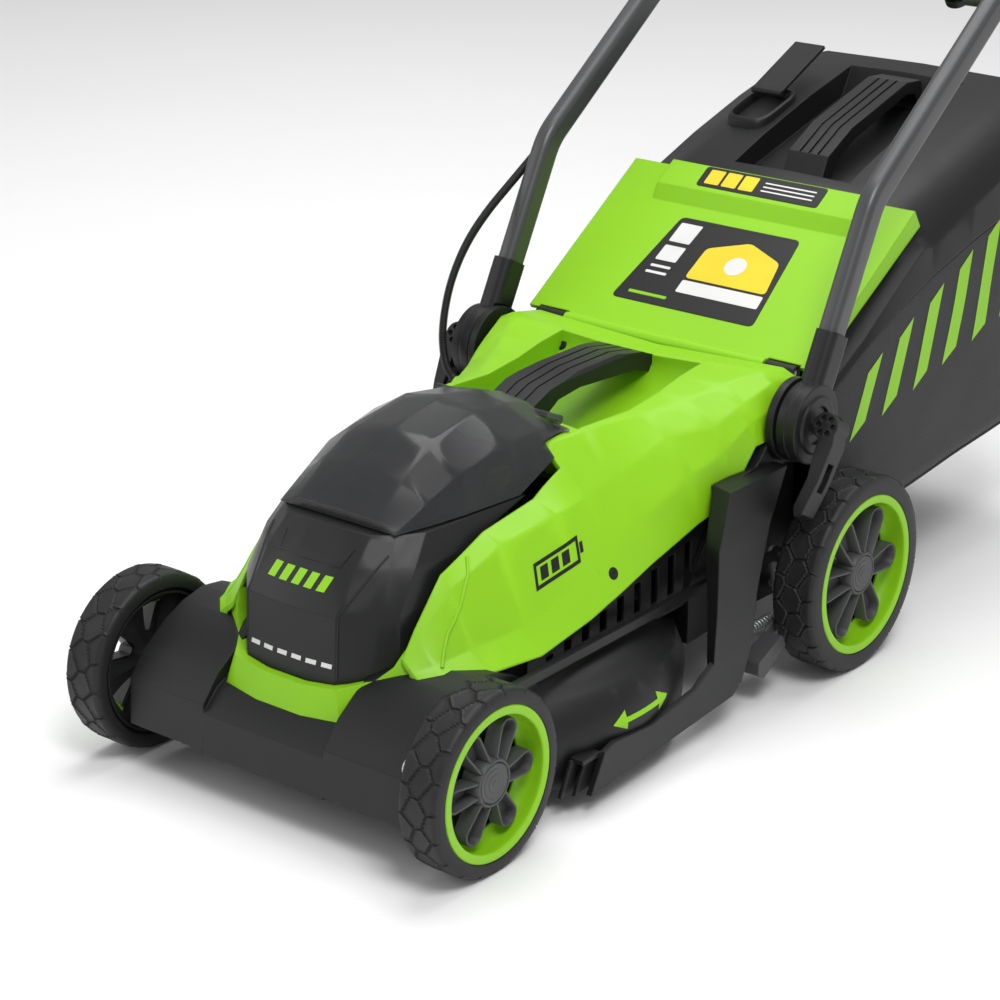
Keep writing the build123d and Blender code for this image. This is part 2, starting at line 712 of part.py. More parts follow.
WHEELS = {
    "front": (FRONT_WHEEL_R, FRONT_WHEEL_W, FRONT_RING_R, FRONT_WHEEL_X, 0.0),
    "rear": (REAR_WHEEL_R, REAR_WHEEL_W, REAR_RING_R, REAR_WHEEL_X, WHEELBASE),
}
for end, (wheel_r, wheel_w, ring_r, face_x, wheel_y) in WHEELS.items():
    place = Pos(0, wheel_y, wheel_r)
    wheel_parts = {
        "wheel": place * make_wheel(wheel_r, wheel_w, ring_r, face_x),
        "ring": place * make_ring(ring_r, face_x),
        "hubcap": make_hubcap(ring_r, face_x, wheel_y, wheel_r),
    }
    for side_name, side in SIDES.items():
        for part_name, part in wheel_parts.items():
            add(f"{end}_{side_name}_{part_name}", on_side(part, side))


# ---------------------------------------------------------------- height adjustment
LINK_PLATE_X = 148.0
LINK_ROD_X0, LINK_ROD_X1 = 151.4, 157.4
REAR_CRANK_X = 168.0


def crank_plate(axle, x0, pin_dy, pin_dz, boss_r, pin_r):
    """Flat steel crank between the axle bar and a pin."""
    y, z = axle
    length = hypot(pin_dy, pin_dz)
    angle = atan2(pin_dz, pin_dy)
    bar = Pos(x0 + PLATE_T / 2, y, z) * Rot(degrees(angle), 0, 0)
    flat = bar * Pos(0, length / 2, 0) * Box(PLATE_T, length, 2 * pin_r)
    root = rod_x(boss_r, x0, x0 + PLATE_T, y, z)
    tip = rod_x(pin_r, x0, x0 + PLATE_T, y + pin_dy, z + pin_dz)
    return flat + root + tip


def make_axle(axle, crank_x, face_x):
    """Bar across the deck with a wheel crank at each end and the link arm on the left."""
    y, z = axle
    bar = rod_x(AXLE_R, -crank_x - PLATE_T, crank_x + PLATE_T, y, z)
    crank = crank_plate(axle, crank_x, CRANK_DY, CRANK_DZ, 9, 8)
    stub = rod_x(STUB_R, crank_x + PLATE_T, face_x - NUT_DEPTH, y + CRANK_DY, z + CRANK_DZ)
    arm = crank_plate(axle, LINK_PLATE_X, LINK_DY, LINK_DZ, 9, 7)
    pin = rod_x(3, LINK_PLATE_X, LINK_ROD_X1 + 1, y + LINK_DY, z + LINK_DZ)
    return bar + both_sides(crank + stub) + arm + pin


def make_wheel_nuts(axle, face_x):
    """Two flanged nuts on the ends of an axle's stubs."""
    x0 = face_x - BOSS_FACE + 0.4
    x1 = face_x - NUT_DEPTH
    y, z = axle[0] + CRANK_DY, axle[1] + CRANK_DZ
    hexagon = Pos(x0, y, z) * Rot(0, 90, 0) * extrude(RegularPolygon(9, 6), x1 - x0)
    nut = hexagon - rod_x(STUB_R, x0 - 1, x1 + 1, y, z)
    return Compound(children=[nut, mirrored(nut)])


add("front_axle", make_axle(FRONT_AXLE, LINK_PLATE_X, FRONT_WHEEL_X))
add("front_wheel_nuts", make_wheel_nuts(FRONT_AXLE, FRONT_WHEEL_X))
add("rear_axle", make_axle(REAR_AXLE, REAR_CRANK_X, REAR_WHEEL_X))
add("rear_wheel_nuts", make_wheel_nuts(REAR_AXLE, REAR_WHEEL_X))


def make_link_rod():
    """Cranked flat rod that ties the two axles together."""
    (fy, fz), (ry, rz) = FRONT_PIN, REAR_PIN
    top = 117.0
    low = [(fy, fz - 4), (24, fz - 4), (56, top - 4), (360, top - 4), (ry, rz - 4)]
    high = [(ry, rz + 4), (362, top + 4), (52, top + 4), (18, fz + 4), (fy, fz + 4)]
    rod = prism_x(low + high, LINK_ROD_X0, LINK_ROD_X1)
    for y, z in (FRONT_PIN, REAR_PIN):
        rod += rod_x(7, LINK_ROD_X0, LINK_ROD_X1, y, z)
        rod -= rod_x(3 + RUN_FIT, LINK_ROD_X0 - 1, LINK_ROD_X1 + 1, y, z)
    return rod


add("height_link_rod", make_link_rod())

LEVER_ANGLE = 205.0
LEVER_X0 = 171.0


def make_height_lever():
    """Grey paddle on a steel arm, fixed to the rear crank."""
    y, z = REAR_AXLE
    arm = crank_plate(REAR_AXLE, LEVER_X0, *along(0, 0, LEVER_ANGLE, 84), 10, 6)
    grip_line = [along(y, z, LEVER_ANGLE, 60, 6), along(y, z, LEVER_ANGLE, 99, 9),
                 along(y, z, LEVER_ANGLE, 104, 0), along(y, z, LEVER_ANGLE, 99, -10),
                 along(y, z, LEVER_ANGLE, 60, -8)]
    grip = prism_x(grip_line, LEVER_X0 + PLATE_T, 192)
    return arm, fillet(grip.edges().filter_by(Axis.X), 3)


LEVER_ARM, LEVER_GRIP = make_height_lever()
add("rear_axle", NODES["rear_axle"] + LEVER_ARM)
add("height_lever_grip", LEVER_GRIP)


SPRING_X, SPRING_Z = 162.0, 56.0
SPRING_Y0, SPRING_Y1 = 392.0, 430.0


def make_height_spring():
    """Tension spring that helps to lift the deck: close turns and a straight front hook."""
    turns, coil_r, wire_r = 9, 4.4, 0.9
    length = SPRING_Y1 - SPRING_Y0
    coil = Pos(SPRING_X, SPRING_Y0, SPRING_Z) * Rot(-90, 0, 0) * Helix(length / turns, length, coil_r)
    start = Plane(origin=coil @ 0, z_dir=coil % 0)
    return sweep(start * Circle(wire_r), path=coil)


add("height_spring", make_height_spring())


# ---------------------------------------------------------------- lower handle
def tube_section(plane, width, depth, corner):
    """Rounded rectangular section on a plane, width across the machine."""
    return plane * make_face(RectangleRounded(width, depth, corner).wire())


def make_lower_tube():
    """Bent oval tube between the pivot bracket and the handle joint (left side)."""
    start = along(PIVOT_Y, PIVOT_Z, LOWER_ANGLE, 44)
    path = FilletPolyline((LOWER_TUBE_X, *start), (LOWER_TUBE_X, KNEE_Y, KNEE_Z),
                          (LOWER_TUBE_X, JOINT_Y, JOINT_Z), radius=60)
    plane = Plane(origin=path @ 0, x_dir=(1, 0, 0), z_dir=path % 0)
    tube = sweep(tube_section(plane, LOWER_TUBE_W, LOWER_TUBE_D, 7), path=path)
    bore = sweep(tube_section(plane, LOWER_TUBE_W - 3.6, LOWER_TUBE_D - 3.6, 5.2), path=path)
    half = LOWER_TUBE_W / 2
    tip = rod_x(LOWER_TUBE_D / 2, LOWER_TUBE_X - half, LOWER_TUBE_X + half, JOINT_Y, JOINT_Z)
    return tube - bore + tip - rod_x(BOLT_R + RUN_FIT, 160, 190, JOINT_Y, JOINT_Z)


def make_pivot_bracket():
    """Round drum and socket at the foot of a lower tube (left side)."""
    drum = rod_x(35, DRUM_X0, DRUM_X1, PIVOT_Y, PIVOT_Z)
    base = along(PIVOT_Y, PIVOT_Z, LOWER_ANGLE, 10)
    path = Line((LOWER_TUBE_X + 1, *base), (LOWER_TUBE_X + 1, *along(PIVOT_Y, PIVOT_Z, LOWER_ANGLE, 80)))
    plane = Plane(origin=path @ 0, x_dir=(1, 0, 0), z_dir=path % 0)
    arm = sweep(tube_section(plane, 22, 31, 8), path=path)
    inner = Line((LOWER_TUBE_X, *along(PIVOT_Y, PIVOT_Z, LOWER_ANGLE, 44)),
                 (LOWER_TUBE_X, *along(PIVOT_Y, PIVOT_Z, LOWER_ANGLE, 90)))
    inner_plane = Plane(origin=inner @ 0, x_dir=(1, 0, 0), z_dir=inner % 0)
    socket = sweep(tube_section(inner_plane, LOWER_TUBE_W, LOWER_TUBE_D, 7), path=inner)
    arm -= rod_x(MOUNT_R + 1.5, 160, DRUM_X0, PIVOT_Y, PIVOT_Z)
    return drum + arm - socket - rod_x(BOLT_R + RUN_FIT, 150, 200, PIVOT_Y, PIVOT_Z)


LOWER_TUBE = make_lower_tube()
PIVOT_BRACKET = make_pivot_bracket()
for side_name, side in SIDES.items():
    add(f"lower_tube_{side_name}", on_side(LOWER_TUBE, side))
    add(f"pivot_bracket_{side_name}", on_side(PIVOT_BRACKET, side))

LOWER_CAM_X = 203.0
UPPER_CAM_X = 131.0


def cam_lever(length, hole_r):
    """Clamp lever about +Y, lying along -Z beside the clamp face, which is towards -X."""
    barrel = rod_y(12, -11, 11, 0, 0)
    outline = [(-3, -6), (10, 0), (12, -14), (9, -length * 0.6), (3, -length), (-4, -length - 3),
               (-7, -length + 4), (-2, -length * 0.6), (-3, -30)]
    arm = prism_y(outline, -11, 11)
    window = block(-20, 20, -5, 5, -length * 0.72, -30)
    lever = barrel + arm - window
    for i in range(6):
        a = radians(60 * i)
        lever -= rod_y(2.6, 8, 12, 7.2 * cos(a), 7.2 * sin(a))
        lever -= rod_y(2.6, -12, -8, 7.2 * cos(a), 7.2 * sin(a))
    swing_room = prism_y([(-14, -4.6), (2, -4.6), (4.6, -2), (9.3, 11.9), (9.3, 14), (-14, 14)],
                         -BOLT_R - 0.3, BOLT_R + 0.3)
    return lever - swing_room


def place_lever(lever, x, y, z, angle):
    """Put a lever on the left side with its arm pointing back down the tube."""
    return Pos(x, y, z) * Rot(angle - 90, 0, 0) * lever


LOWER_CAM = place_lever(cam_lever(78, BOLT_R), LOWER_CAM_X, PIVOT_Y, PIVOT_Z, LOWER_ANGLE)
for side_name, side in SIDES.items():
    add(f"lower_cam_lever_{side_name}", on_side(LOWER_CAM, side))

PIVOT_BOLT = rod_x(BOLT_R, 157, LOWER_CAM_X, PIVOT_Y, PIVOT_Z)
PIVOT_BOLT += rod_x(8, 155.8, MOUNT_X0 - 0.2, PIVOT_Y, PIVOT_Z)
add("pivot_bolts", pair_node(PIVOT_BOLT))


# ---------------------------------------------------------------- upper handle
def make_upper_handle():
    """U-shaped round tube from joint to joint."""
    foot = along(JOINT_Y, JOINT_Z, UPPER_ANGLE, -6)
    x = UPPER_TUBE_X
    path = FilletPolyline((-x, *foot), (-x, CROSSBAR_Y, CROSSBAR_Z), (x, CROSSBAR_Y, CROSSBAR_Z), (x, *foot),
                          radius=60)
    plane = Plane(origin=path @ 0, z_dir=path % 0)
    tube = sweep(plane * Circle(UPPER_TUBE_R), path=path)
    bore = sweep(plane * Circle(UPPER_TUBE_R - 1.6), path=path)
    plug = rod_x(12, x - 10.8, x + 10.8, JOINT_Y, JOINT_Z)
    handle = tube - bore + both_sides(plug)
    handle -= both_sides(rod_x(BOLT_R, 130, 170, JOINT_Y, JOINT_Z))
    return handle - rod_x(BAIL_R + RUN_FIT, -160, 160, *BAIL_PIVOT)


BAIL_R = 3.5
BAIL_ARM = 95.0
BAIL_X = 128.0
BAIL_REST = 44.0
BAIL_PIVOT = along(JOINT_Y, JOINT_Z, UPPER_ANGLE, UPPER_LENGTH - 95)
add("upper_handle", make_upper_handle())

for side_name, side in SIDES.items():
    UPPER_CAM = on_side(cam_lever(60, BOLT_R), -side)
    UPPER_CAM = place_lever(UPPER_CAM, side * UPPER_CAM_X, JOINT_Y, JOINT_Z, UPPER_ANGLE + 180)
    add(f"upper_cam_lever_{side_name}", UPPER_CAM)

JOINT_BOLT = rod_x(BOLT_R, UPPER_CAM_X, 186, JOINT_Y, JOINT_Z) + rod_x(8, 185.2, 187, JOINT_Y, JOINT_Z)
add("joint_bolts", pair_node(JOINT_BOLT))

GRIP_HALF = 92.0
grip = rod_x(GRIP_R, -GRIP_HALF, GRIP_HALF, CROSSBAR_Y, CROSSBAR_Z)
add("handle_grip", grip - rod_x(UPPER_TUBE_R, -100, 100, CROSSBAR_Y, CROSSBAR_Z))

BOX_U0, BOX_U1 = UPPER_LENGTH - 152, UPPER_LENGTH - 64
BUTTON_U = UPPER_LENGTH - 128
BUTTON_R = 9.0


def handle_prism(u0, u1, lift0, lift1, x0, x1):
    """Block laid along the upper handle."""
    corners = [(u0, lift0), (u1, lift0), (u1, lift1), (u0, lift1)]
    return prism_x([along(JOINT_Y, JOINT_Z, UPPER_ANGLE, u, lift) for u, lift in corners], x0, x1)


def handle_peg(r, u, lift0, lift1, x):
    """Cylinder square to the upper handle."""
    y, z = along(JOINT_Y, JOINT_Z, UPPER_ANGLE, u, (lift0 + lift1) / 2)
    return Pos(x, y, z) * Rot(UPPER_ANGLE, 0, 0) * Cylinder(r, lift1 - lift0)


def make_switch_box():
    """Control housing clamped on the right tube."""
    case = handle_prism(BOX_U0, BOX_U1, -18, 24, -184, -136)
    case = fillet(case.edges().filter_by(Axis.X), 5)
    y, z = along(JOINT_Y, JOINT_Z, UPPER_ANGLE, (BOX_U0 + BOX_U1) / 2)
    case -= Pos(-UPPER_TUBE_X, y, z) * Rot(UPPER_ANGLE - 90, 0, 0) * Cylinder(UPPER_TUBE_R, BOX_U1 - BOX_U0 + 20)
    case -= handle_peg(BUTTON_R + 0.3, BUTTON_U, 13, 30, -160)
    return case - rod_x(BAIL_R + RUN_FIT, -160, -130, *BAIL_PIVOT)


add("switch_box", make_switch_box())
add("start_button", handle_peg(BUTTON_R, BUTTON_U, 19.5, 30, -160))


def make_bail():
    """Sprung bar that is held against the grip to run the motor."""
    tip = along(*BAIL_PIVOT, UPPER_ANGLE + BAIL_REST, BAIL_ARM)
    points = [(-146, *BAIL_PIVOT), (-BAIL_X, *BAIL_PIVOT), (-BAIL_X, *tip), (BAIL_X, *tip),
              (BAIL_X, *BAIL_PIVOT), (146, *BAIL_PIVOT)]
    return bent_tube(points, [6, 14, 14, 6], BAIL_R)


add("bail_bar", make_bail())


# ---------------------------------------------------------------- cable conduit
CONDUIT_LIFT = -7.0
BOX_MOUTH = (-171, *along(JOINT_Y, JOINT_Z, UPPER_ANGLE, BOX_U0, CONDUIT_LIFT))
UPPER_ROUTE = [
    CONDUIT_SPLIT, (CONDUIT_X, 645, 467.4), (-190.5, 696, 505), (-190, 742, 536), (-188, 782, 565),
    (-179, 822, 597), (-171, *along(JOINT_Y, JOINT_Z, UPPER_ANGLE, 142, CONDUIT_LIFT)), BOX_MOUTH,
]


def conduit(route):
    """Corrugated cable sleeve, plain outside, along its route."""
    radii = arc_radii(route)
    print("conduit radii", [round(r) for r in radii])
    return bent_tube(route, radii, CONDUIT_R)


add("conduit_lower", conduit(LOWER_ROUTE))
add("conduit_upper", conduit(UPPER_ROUTE))


# ---------------------------------------------------------------- rear flap
def flap_prism(outline, x0, x1):
    """Extrude a (distance, lift) outline of the flap across the machine."""
    points = [along(FLAP_HINGE_Y, FLAP_HINGE_Z, FLAP_SLOPE, d, lift) for d, lift in outline]
    return prism_x(points, x0, x1)


FLAP_TOP, FLAP_T = 3.5, 4.0
FLAP_ROLL_R = 7.5


def make_flap():
    """Sprung discharge cover: panel, raised top strip, side returns and hinge roll."""
    under = FLAP_TOP - FLAP_T
    flap = flap_prism([(5, under), (FLAP_LENGTH, under), (FLAP_LENGTH, FLAP_TOP), (5, FLAP_TOP)], -FLAP_HALF,
                      FLAP_HALF)
    flap += flap_prism([(158, under), (FLAP_LENGTH, under), (FLAP_LENGTH, 12), (172, 12), (158, FLAP_TOP)],
                       -108, 108)
    side = flap_prism([(34, FLAP_TOP), (60, -8), (FLAP_LENGTH, -16), (FLAP_LENGTH, FLAP_TOP)], 151, FLAP_HALF)
    flap += both_sides(side)
    flap -= both_sides(rod_x(8.5, CHUTE_HALF - 2, CHUTE_HALF + 32, FLAP_HINGE_Y, FLAP_HINGE_Z))
    flap += rod_x(FLAP_ROLL_R, -CHUTE_HALF + 2, CHUTE_HALF - 2, FLAP_HINGE_Y, FLAP_HINGE_Z)
    return flap - rod_x(3 + RUN_FIT, -160, 160, FLAP_HINGE_Y, FLAP_HINGE_Z)


add("rear_flap", make_flap())
add("flap_rod", rod_x(3, -141, 141, FLAP_HINGE_Y, FLAP_HINGE_Z))


# ---------------------------------------------------------------- grass box
LID_LINE = [
    (503, 270, 240), (560, 304, 272), (620, 342, 296), (660, 366, 309), (676, 376, 314), (740, 398, 330),
    (820, 421, 345), (890, 437, 356), (925, 443, 362), (940, 428, 366),
]
BAG_HALF = 168.0
BAG_FLOOR = [(503, 100), (560, 99), (620, 101), (660, 103), (676, 104), (740, 110), (820, 115), (890, 121),
             (925, 128), (940, 160)]


def bag_width(y):
    """Half width of the grass box along its length."""
    if y < 560:
        return BAG_HALF - (560 - y) * 0.05
    if y > 890:
        return BAG_HALF - (y - 890) * 0.2
    return BAG_HALF


def lid_section(y, crown, skirt, gap=0.0, drop=0.0):
    """Half outline of the grass box lid; under the flap its edge is stepped down."""
    w = bag_width(y)
    if y <= 660:
        upper = [(0, crown), (110, crown), (147, crown - 3), (149.5, crown - 18), (w - 3, crown - 24)]
    else:
        upper = [(0, crown), (110, crown - 2), (146, crown - 12), (158, crown - 26), (w - 3, crown - 36)]
    outline = [(max(x - gap, 0), z - gap) for x, z in upper]
    return outline + [(w - gap, skirt - drop)]


POCKET = [(690, 352), (712, 366), (880, 408), (908, 455), (690, 455)]


def make_bag_lid():
    """Hard top of the grass box with a pocket and a bar handle."""
    outer = hull_y([(y, lid_section(y, crown, skirt)) for y, crown, skirt in LID_LINE])
    inner_line = [(y, lid_section(y, crown, skirt, WALL, 20)) for y, crown, skirt in LID_LINE]
    inner_line[0] = (500, inner_line[0][1])
    inner_line[-1] = (936, inner_line[-1][1])
    inner = hull_y(inner_line)
    inner -= prism_x([(686, 340), (712, 360), (884, 402), (914, 455), (686, 460)], -67, 67)
    lid = outer - inner - prism_x(POCKET, -64, 64)
    bar = prism_x([(700, 355), (720, 392), (760, 412), (860, 438), (886, 436), (896, 412), (884, 408),
                   (876, 424), (860, 426), (766, 400), (734, 384), (722, 364)], -22, 22)
    lid += bar
    for x in (-10, 0, 10):
        lid -= prism_x([(716, 398), (760, 416), (864, 443), (862, 436), (760, 410), (722, 390)], x - 1.2, x + 1.2)
    return lid


add("bag_lid", make_bag_lid())


def bag_section(y, skirt, floor, gap=0.0, rise=0.0):
    """Half outline of the fabric tub from its top edge to its floor."""
    w = bag_width(y) - 0.5 - gap
    return [(0, skirt + rise), (w, skirt + rise), (w, floor + 40), (w - 6, floor + 12 + gap),
            (w - 20, floor + gap)]


def make_bag_fabric():
    """Woven tub that hangs under the lid, open at the front."""
    spans = [(y, skirt, floor) for (y, _, skirt), (_, floor) in zip(LID_LINE, BAG_FLOOR)]
    outer = hull_y([(y, bag_section(y, skirt, floor)) for y, skirt, floor in spans])
    inner = [(y, bag_section(y, skirt, floor, 2.5, 1.0)) for y, skirt, floor in spans]
    inner[0] = (502, inner[0][1])
    inner[-1] = (937, inner[-1][1])
    return outer - hull_y(inner)


add("bag_fabric", make_bag_fabric())


def make_fill_indicator():
    """Small hinged vane on the lid that the air flow lifts."""
    vane = prism_x([(790, 424), (792, 428), (866, 460), (868, 457)], -112, -78)
    hinge = rod_x(3, -112, -78, 791, 425)
    return vane + hinge


add("fill_indicator", make_fill_indicator())

for name, shape in NODES.items():
    print(name, shape.is_valid, len(shape.solids()), round(shape.volume))
    export_step(Pos(0, -BOX_MIDDLE_Y, 0) * shape, f"parts/{name}.step")
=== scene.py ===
import json
import math

import bpy
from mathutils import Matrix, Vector
from mathutils.bvhtree import BVHTree


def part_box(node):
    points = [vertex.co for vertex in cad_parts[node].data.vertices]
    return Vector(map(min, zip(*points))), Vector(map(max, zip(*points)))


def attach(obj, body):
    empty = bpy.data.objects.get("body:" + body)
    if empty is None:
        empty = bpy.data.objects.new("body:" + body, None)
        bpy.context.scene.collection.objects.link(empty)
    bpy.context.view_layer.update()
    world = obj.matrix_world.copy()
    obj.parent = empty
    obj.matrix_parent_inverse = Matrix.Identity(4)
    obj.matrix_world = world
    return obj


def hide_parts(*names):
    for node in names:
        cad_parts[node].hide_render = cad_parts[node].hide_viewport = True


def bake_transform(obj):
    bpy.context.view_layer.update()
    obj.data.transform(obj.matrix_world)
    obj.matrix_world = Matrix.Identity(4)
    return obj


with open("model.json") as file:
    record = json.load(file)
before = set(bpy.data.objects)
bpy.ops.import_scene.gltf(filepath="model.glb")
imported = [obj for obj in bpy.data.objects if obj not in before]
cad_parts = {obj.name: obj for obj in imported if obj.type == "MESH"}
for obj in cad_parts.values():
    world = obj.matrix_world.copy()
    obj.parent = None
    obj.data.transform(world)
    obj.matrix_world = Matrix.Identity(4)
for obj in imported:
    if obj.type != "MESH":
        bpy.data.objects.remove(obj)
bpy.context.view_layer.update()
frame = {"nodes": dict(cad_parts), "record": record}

# Sizes below are in millimetres in axle coordinates: y = 0 at the front wheels' centre, z = 0 on the ground.
MM = 0.001
front_low, front_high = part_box("front_left_wheel")
FRONT_AXLE_Y = (front_low.y + front_high.y) / 2


def at(x, y, z):
    """Point in the row frame, in metres, from axle coordinates in millimetres."""
    return Vector((x * MM, y * MM + FRONT_AXLE_Y, z * MM))


# ---------------------------------------------------------------- materials
class Nodes:
    """Short names for building a node tree."""

    def __init__(self, name):
        self.material = bpy.data.materials.new(name)
        self.material.use_nodes = True
        self.tree = self.material.node_tree
        self.shader = self.tree.nodes["Principled BSDF"]
        coordinates = self.tree.nodes.new("ShaderNodeTexCoord")
        self.place = coordinates.outputs["Object"]

    def add(self, kind, **settings):
        node = self.tree.nodes.new(kind)
        for key, value in settings.items():
            setattr(node, key, value)
        return node

    def link(self, source, target):
        self.tree.links.new(source, target)

    def noise(self, scale, detail=3.0, rough=0.55, place=None):
        node = self.add("ShaderNodeTexNoise")
        node.inputs["Scale"].default_value = scale
        node.inputs["Detail"].default_value = detail
        node.inputs["Roughness"].default_value = rough
        self.link(place or self.place, node.inputs["Vector"])
        return node.outputs["Fac"]

    def cells(self, scale, feature="F1", place=None):
        node = self.add("ShaderNodeTexVoronoi", feature=feature)
        node.inputs["Scale"].default_value = scale
        self.link(place or self.place, node.inputs["Vector"])
        return node.outputs["Distance"]

    def ramp(self, value, stops):
        node = self.add("ShaderNodeValToRGB")
        while len(node.color_ramp.elements) < len(stops):
            node.color_ramp.elements.new(0.5)
        for element, (position, color) in zip(node.color_ramp.elements, stops):
            element.position = position
            element.color = (*color, 1) if len(color) == 3 else color
        self.link(value, node.inputs["Fac"])
        return node.outputs["Color"]

    def span(self, value, low, high):
        node = self.add("ShaderNodeMapRange")
        node.inputs["To Min"].default_value = low
        node.inputs["To Max"].default_value = high
        self.link(value, node.inputs["Value"])
        return node.outputs["Result"]

    def math(self, operation, a, b=None):
        node = self.add("ShaderNodeMath", operation=operation)
        for socket, value in zip(node.inputs, (a, b)):
            if value is None:
                continue
            if isinstance(value, (int, float)):
                socket.default_value = value
            else:
                self.link(value, socket)
        return node.outputs[0]

    def mix(self, factor, a, b, blend="MIX"):
        node = self.add("ShaderNodeMix", data_type="RGBA", blend_type=blend)
        for socket, value in ((node.inputs[0], factor), (node.inputs[6], a), (node.inputs[7], b)):
            if isinstance(value, (int, float)):
                socket.default_value = value
            elif isinstance(value, tuple):
                socket.default_value = (*value, 1)
            else:
                self.link(value, socket)
        return node.outputs[2]

    def bump(self, height, distance, strength=1.0, normal=None):
        node = self.add("ShaderNodeBump")
        node.inputs["Distance"].default_value = distance
        node.inputs["Strength"].default_value = strength
        self.link(height, node.inputs["Height"])
        if normal is not None:
            self.link(normal, node.inputs["Normal"])
        return node.outputs["Normal"]

    def soft_edges(self, radius):
        node = self.add("ShaderNodeBevel", samples=4)
        node.inputs["Radius"].default_value = radius
        return node.outputs["Normal"]

    def edge_mask(self, radius, gain=6.0):
        """1 on convex and concave edges, 0 on flats."""
        rounded = self.soft_edges(radius)
        geometry = self.add("ShaderNodeNewGeometry")
        dot = self.add("ShaderNodeVectorMath", operation="DOT_PRODUCT")
        self.link(rounded, dot.inputs[0])
        self.link(geometry.outputs["Normal"], dot.inputs[1])
        away = self.math("SUBTRACT", 1.0, dot.outputs["Value"])
        scaled = self.math("MULTIPLY", away, gain)
        return self.math("MINIMUM", scaled, 1.0)


def plastic(name, color, rough, grain=2600.0, depth=0.00006, edge=0.0009, tint=0.10, wear=0.25):
    """Moulded plastic: slight tint clouds, fine texture, soft edges and lightly rubbed corners."""
    n = Nodes(name)
    dark = tuple(c * (1 - tint) for c in color)
    light = tuple(min(1.0, c * (1 + tint)) for c in color)
    clouds = n.ramp(n.noise(9.0), [(0.3, dark), (0.7, light)])
    rubbed = n.math("MULTIPLY", n.edge_mask(edge * 1.6), n.span(n.noise(60.0), 0.0, wear))
    pale = tuple(min(1.0, c * 1.35 + 0.03) for c in color)
    n.link(n.mix(rubbed, clouds, pale), n.shader.inputs["Base Color"])
    n.link(n.span(n.noise(26.0), rough - 0.05, rough + 0.07), n.shader.inputs["Roughness"])
    texture = n.math("ADD", n.cells(grain), n.noise(grain * 0.6, 2.0))
    n.link(n.bump(texture, depth, 0.35, n.soft_edges(edge)), n.shader.inputs["Normal"])
    n.shader.inputs["IOR"].default_value = 1.49
    n.shader.inputs["Specular IOR Level"].default_value = 0.36
    return n.material


def metal(name, color, rough, scratch=0.25, edge=0.0006):
    """Bare or plated metal with fine scratches and dulled patches."""
    n = Nodes(name)
    stretched = n.add("ShaderNodeMapping")
    stretched.inputs["Scale"].default_value = (1.0, 1.0, 14.0)
    n.link(n.place, stretched.inputs["Vector"])
    lines = n.noise(240.0, 4.0, 0.7, stretched.outputs["Vector"])
    dark = tuple(c * 0.8 for c in color)
    n.link(n.ramp(n.noise(20.0), [(0.3, dark), (0.7, color)]), n.shader.inputs["Base Color"])
    n.link(n.span(lines, rough, rough + scratch), n.shader.inputs["Roughness"])
    n.link(n.bump(lines, 0.00003, 0.4, n.soft_edges(edge)), n.shader.inputs["Normal"])
    n.shader.inputs["Metallic"].default_value = 1.0
    return n.material


def painted(name, color, rough):
    """Powder coated tube: orange-peel bump over paint, with a soft sheen."""
    n = Nodes(name)
    dark = tuple(c * 0.9 for c in color)
    light = tuple(c * 1.12 for c in color)
    n.link(n.ramp(n.noise(14.0), [(0.3, dark), (0.7, light)]), n.shader.inputs["Base Color"])
    n.link(n.span(n.noise(40.0), rough - 0.04, rough + 0.06), n.shader.inputs["Roughness"])
    n.link(n.bump(n.noise(900.0, 2.0), 0.00005, 0.5, n.soft_edges(0.0005)), n.shader.inputs["Normal"])
    n.shader.inputs["Coat Weight"].default_value = 0.25
    n.shader.inputs["Coat Roughness"].default_value = 0.3
    return n.material


def weave(name):
    """Coated polyester weave: crossing threads, with painted shade in the small holes and low parts between
    them, patchy at random.
    """
    n = Nodes(name)
    threads = []
    for turn in (0.0, math.pi / 2):
        slanted = n.add("ShaderNodeMapping")
        slanted.inputs["Rotation"].default_value = (turn + math.radians(45), 0.0, 0.0)
        slanted.inputs["Scale"].default_value = (0.15, 1.0, 1.0)
        n.link(n.place, slanted.inputs["Vector"])
        wave = n.add("ShaderNodeTexWave", wave_type="BANDS", bands_direction="Y")
        wave.inputs["Scale"].default_value = 120.0
        wave.inputs["Distortion"].default_value = 0.4
        n.link(slanted.outputs["Vector"], wave.inputs["Vector"])
        threads.append(wave.outputs["Fac"])
    height = n.math("MULTIPLY", threads[0], threads[1])
    # Painted shade: the low parts between the threads get this darker, patchy colour, and the raised
    # crossings get the lighter one.
    gap_shade_and_dust = n.ramp(n.noise(14.0, 5.0), [(0.35, (0.0105, 0.0105, 0.0115)), (0.7, (0.0165, 0.0165, 0.0175))])
    n.link(n.mix(height, gap_shade_and_dust, (0.034, 0.034, 0.036)), n.shader.inputs["Base Color"])
    n.link(n.span(height, 0.78, 0.62), n.shader.inputs["Roughness"])
    n.link(n.bump(height, 0.0003, 0.6), n.shader.inputs["Normal"])
    n.shader.inputs["Sheen Weight"].default_value = 0.06
    n.shader.inputs["Sheen Roughness"].default_value = 0.5
    return n.material


